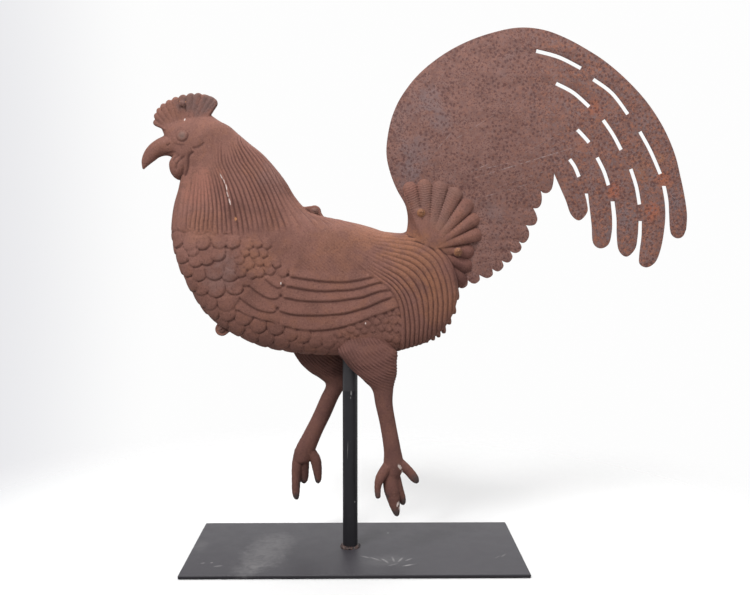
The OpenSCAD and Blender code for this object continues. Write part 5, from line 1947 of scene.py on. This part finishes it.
# Painted shadows on the legs: on the tops of both thighs under the belly, and over the middle of
# the far foot.
LEG_SHADOWS = (
    (-84, 124, 22, 0.7, (0.080, 0.034, 0.028)), (-10, 330, 40, 0.6, (0.070, 0.028, 0.023)),
    (46, 342, 56, 0.4, (0.104, 0.042, 0.034)),
)
LEG_CLAWS = (
    (79, 73, 21, 0.95, CLAW), (91, 89, 17, 0.95, CLAW), (114, 130, 20, 0.95, CLAW),
    (47, 105, 19, 0.95, CLAW), (-95, 79, 21, 0.95, CLAW), (-82, 104, 15, 0.9, CLAW),
    (-57, 108, 20, 0.95, CLAW),
)
LEG_MARKS = (
    (83, 158, 6.0, 2.3, -25, PALE), (87, 149, 3.4, 1.6, 10, PALE),
    (80, 95, 4.6, 2.0, 20, PALE), (83, 87, 3.6, 1.6, -10, PALE),
)
# Scuffs: x, place across, half length, half width, turn, strength
PLATE_SCUFFS = (
    (-140, -20, 110, 46, 8, 0.24), (-158, -95, 44, 34, 20, 0.18), (-240, -74, 5, 3, 60, 0.6),
    (-226, -72, 4, 3, 50, 0.6), (-213, -87, 9, 3, 72, 0.5), (-258, 8, 34, 16, 0, 0.10),
    (24, -48, 13, 2.6, -58, 0.5), (42, -58, 14, 2.8, -46, 0.5), (58, -66, 14, 2.6, -28, 0.6),
    (72, -60, 12, 2.4, -8, 0.5), (84, -62, 13, 2.6, 22, 0.6), (97, -62, 12, 2.6, 44, 0.6),
    (96, -86, 13, 3.0, 66, 0.7), (70, -84, 12, 2.4, 60, 0.4), (67, 68, 2.4, 2.4, 0, 1.0),
    (258, -44, 12, 1.6, 36, 0.4), (246, -52, 10, 1.6, 44, 0.3), (60, -66, 50, 30, 70, 0.10),
)
POST_SCUFFS = (
    (2, 276, 5, 1.6, 0, 0.9), (1, 268, 3, 1.2, 0, 0.6), (8, 88, 1.6, 1.2, 0, 1.0),
    (-4, 180, 18, 0.7, 2, 0.5),
)
# Bolts: node, x, z, seat from the parting plane, shank, turn of the slot
BOLTS = (
    ("comb_bolt", -276, 757, 8, 6.3, 55.0), ("back_bolt", -59, 581, 10, 7.9, 20.0),
    ("breast_bolt", -215, 384, 10, 7.9, -30.0), ("tail_bolt_upper", 118, 579, 21, 7.9, 4.0),
    ("tail_bolt_lower", 180, 514, 20, 7.9, -8.0),
)


def main() -> None:
    """Builds every sub-assembly in order."""
    logging.basicConfig(level=logging.INFO, format="%(message)s")
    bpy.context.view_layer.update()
    weather = rust_group()
    cast = Iron("cast_rust", (0.212, 0.095, 0.073), (0.158, 0.070, 0.054), (0.262, 0.106, 0.056),
                (0.320, 0.180, 0.142), tints=CAST_TINTS, marks=CAST_MARKS).make(weather)
    # Legs: a darker copy of the cast rust, painted shade for legs that stand under the body; the
    # patches laid over it are painted shadows, the claws and marks their own colours.
    shaded_leg_rust = Iron("shaded_leg_rust", (0.148, 0.064, 0.051), (0.108, 0.046, 0.038),
                    (0.188, 0.078, 0.045), (0.240, 0.130, 0.104), tints=LEG_SHADOWS,
                    claws=LEG_CLAWS, marks=LEG_MARKS).make(weather)
    rusty = Iron("fastener_rust", (0.150, 0.070, 0.056), (0.080, 0.038, 0.034),
                 (0.200, 0.096, 0.056), (0.430, 0.300, 0.240), 0.7, hollows=False).make(weather)
    ochre = Iron("fastener_ochre", (0.300, 0.130, 0.060), (0.110, 0.048, 0.034),
                 (0.460, 0.205, 0.080), (0.520, 0.330, 0.200), 0.7, hollows=False).make(weather)
    sheet = SheetIron().make(weather)
    # The plate's top face and the upper lip of its edge are painted lighter: a painted sheen.
    paint = Paint(upper=((4.3, (0.0450, 0.0420, 0.0485)),), scuffs=PLATE_SCUFFS, plan=True).make()
    post_paint = Paint("post_paint", (0.0105, 0.0098, 0.0125), shine=0.34,
                       upper=((278, (0.030, 0.028, 0.031)),), scuffs=POST_SCUFFS).make()
    weld_paint = Paint("weld_paint", (0.020, 0.017, 0.018), rough=0.5, shine=0.3, rust=0.6).make()
    steel = Turned("turned_steel", (0.42, 0.42, 0.43), (0.20, 0.13, 0.10)).make()
    bronze = Turned("bearing_bronze", (0.62, 0.40, 0.18), (0.30, 0.18, 0.09)).make()

    feathers = FeatherMap()
    feathers.draw()
    LOG.info("feather map drawn")
    near, far = Castings().build(feathers)
    near_leg = Leg("leg_near", Side.NEAR, NEAR_LEG, NEAR_TOES).build()
    far_leg = Leg("leg_far", Side.FAR, FAR_LEG, FAR_TOES, stroke_centre=(29.0, 411.0)).build()
    for piece, finish, node in ((near, cast, "body_half_left"), (far, cast, "body_half_right"),
                                (near_leg, shaded_leg_rust, "body_half_left"),
                                (far_leg, shaded_leg_rust, "body_half_right")):
        Bench.dress(piece, finish, "rooster", "cast_body", (node,), 60.0)
    Bench.dress(Tail().build(), sheet, "rooster", "tail_sheet", ("tail_plate",))

    stand = Stand()
    Bench.dress(stand.base_plate(), paint, "stand", "painted_stand", ("base_plate",))
    Bench.dress(stand.post(), post_paint, "stand", "painted_stand", ("stand_post",))
    Bench.dress(stand.weld(), weld_paint, "stand", "painted_stand", ("post_weld",), 60.0)

    for name, x, z, out, shank, turn in BOLTS:
        spread = 0.74 if name == "comb_bolt" else 0.88
        pair = Fastener(name + "_head", x, z, out, shank, turn, spread)
        finish = ochre if name.startswith("tail") else rusty
        Bench.dress(pair.bolt(), finish, "rooster", "fasteners", (name,), 35.0)
        Bench.dress(pair.nut(), rusty, "rooster", "fasteners", (name.replace("bolt", "nut"),), 35.0)

    for name, finish in (("spindle_plug", steel), ("pivot_spindle", steel), ("pivot_tube", steel),
                         ("thrust_cap", bronze), ("belly_bush", bronze)):
        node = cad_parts[name]
        node.data.materials.clear()
        node.data.materials.append(finish)
        LOG.info("%s: dressed", name)

    Studio().build()


if __name__ == "__main__":
    main()
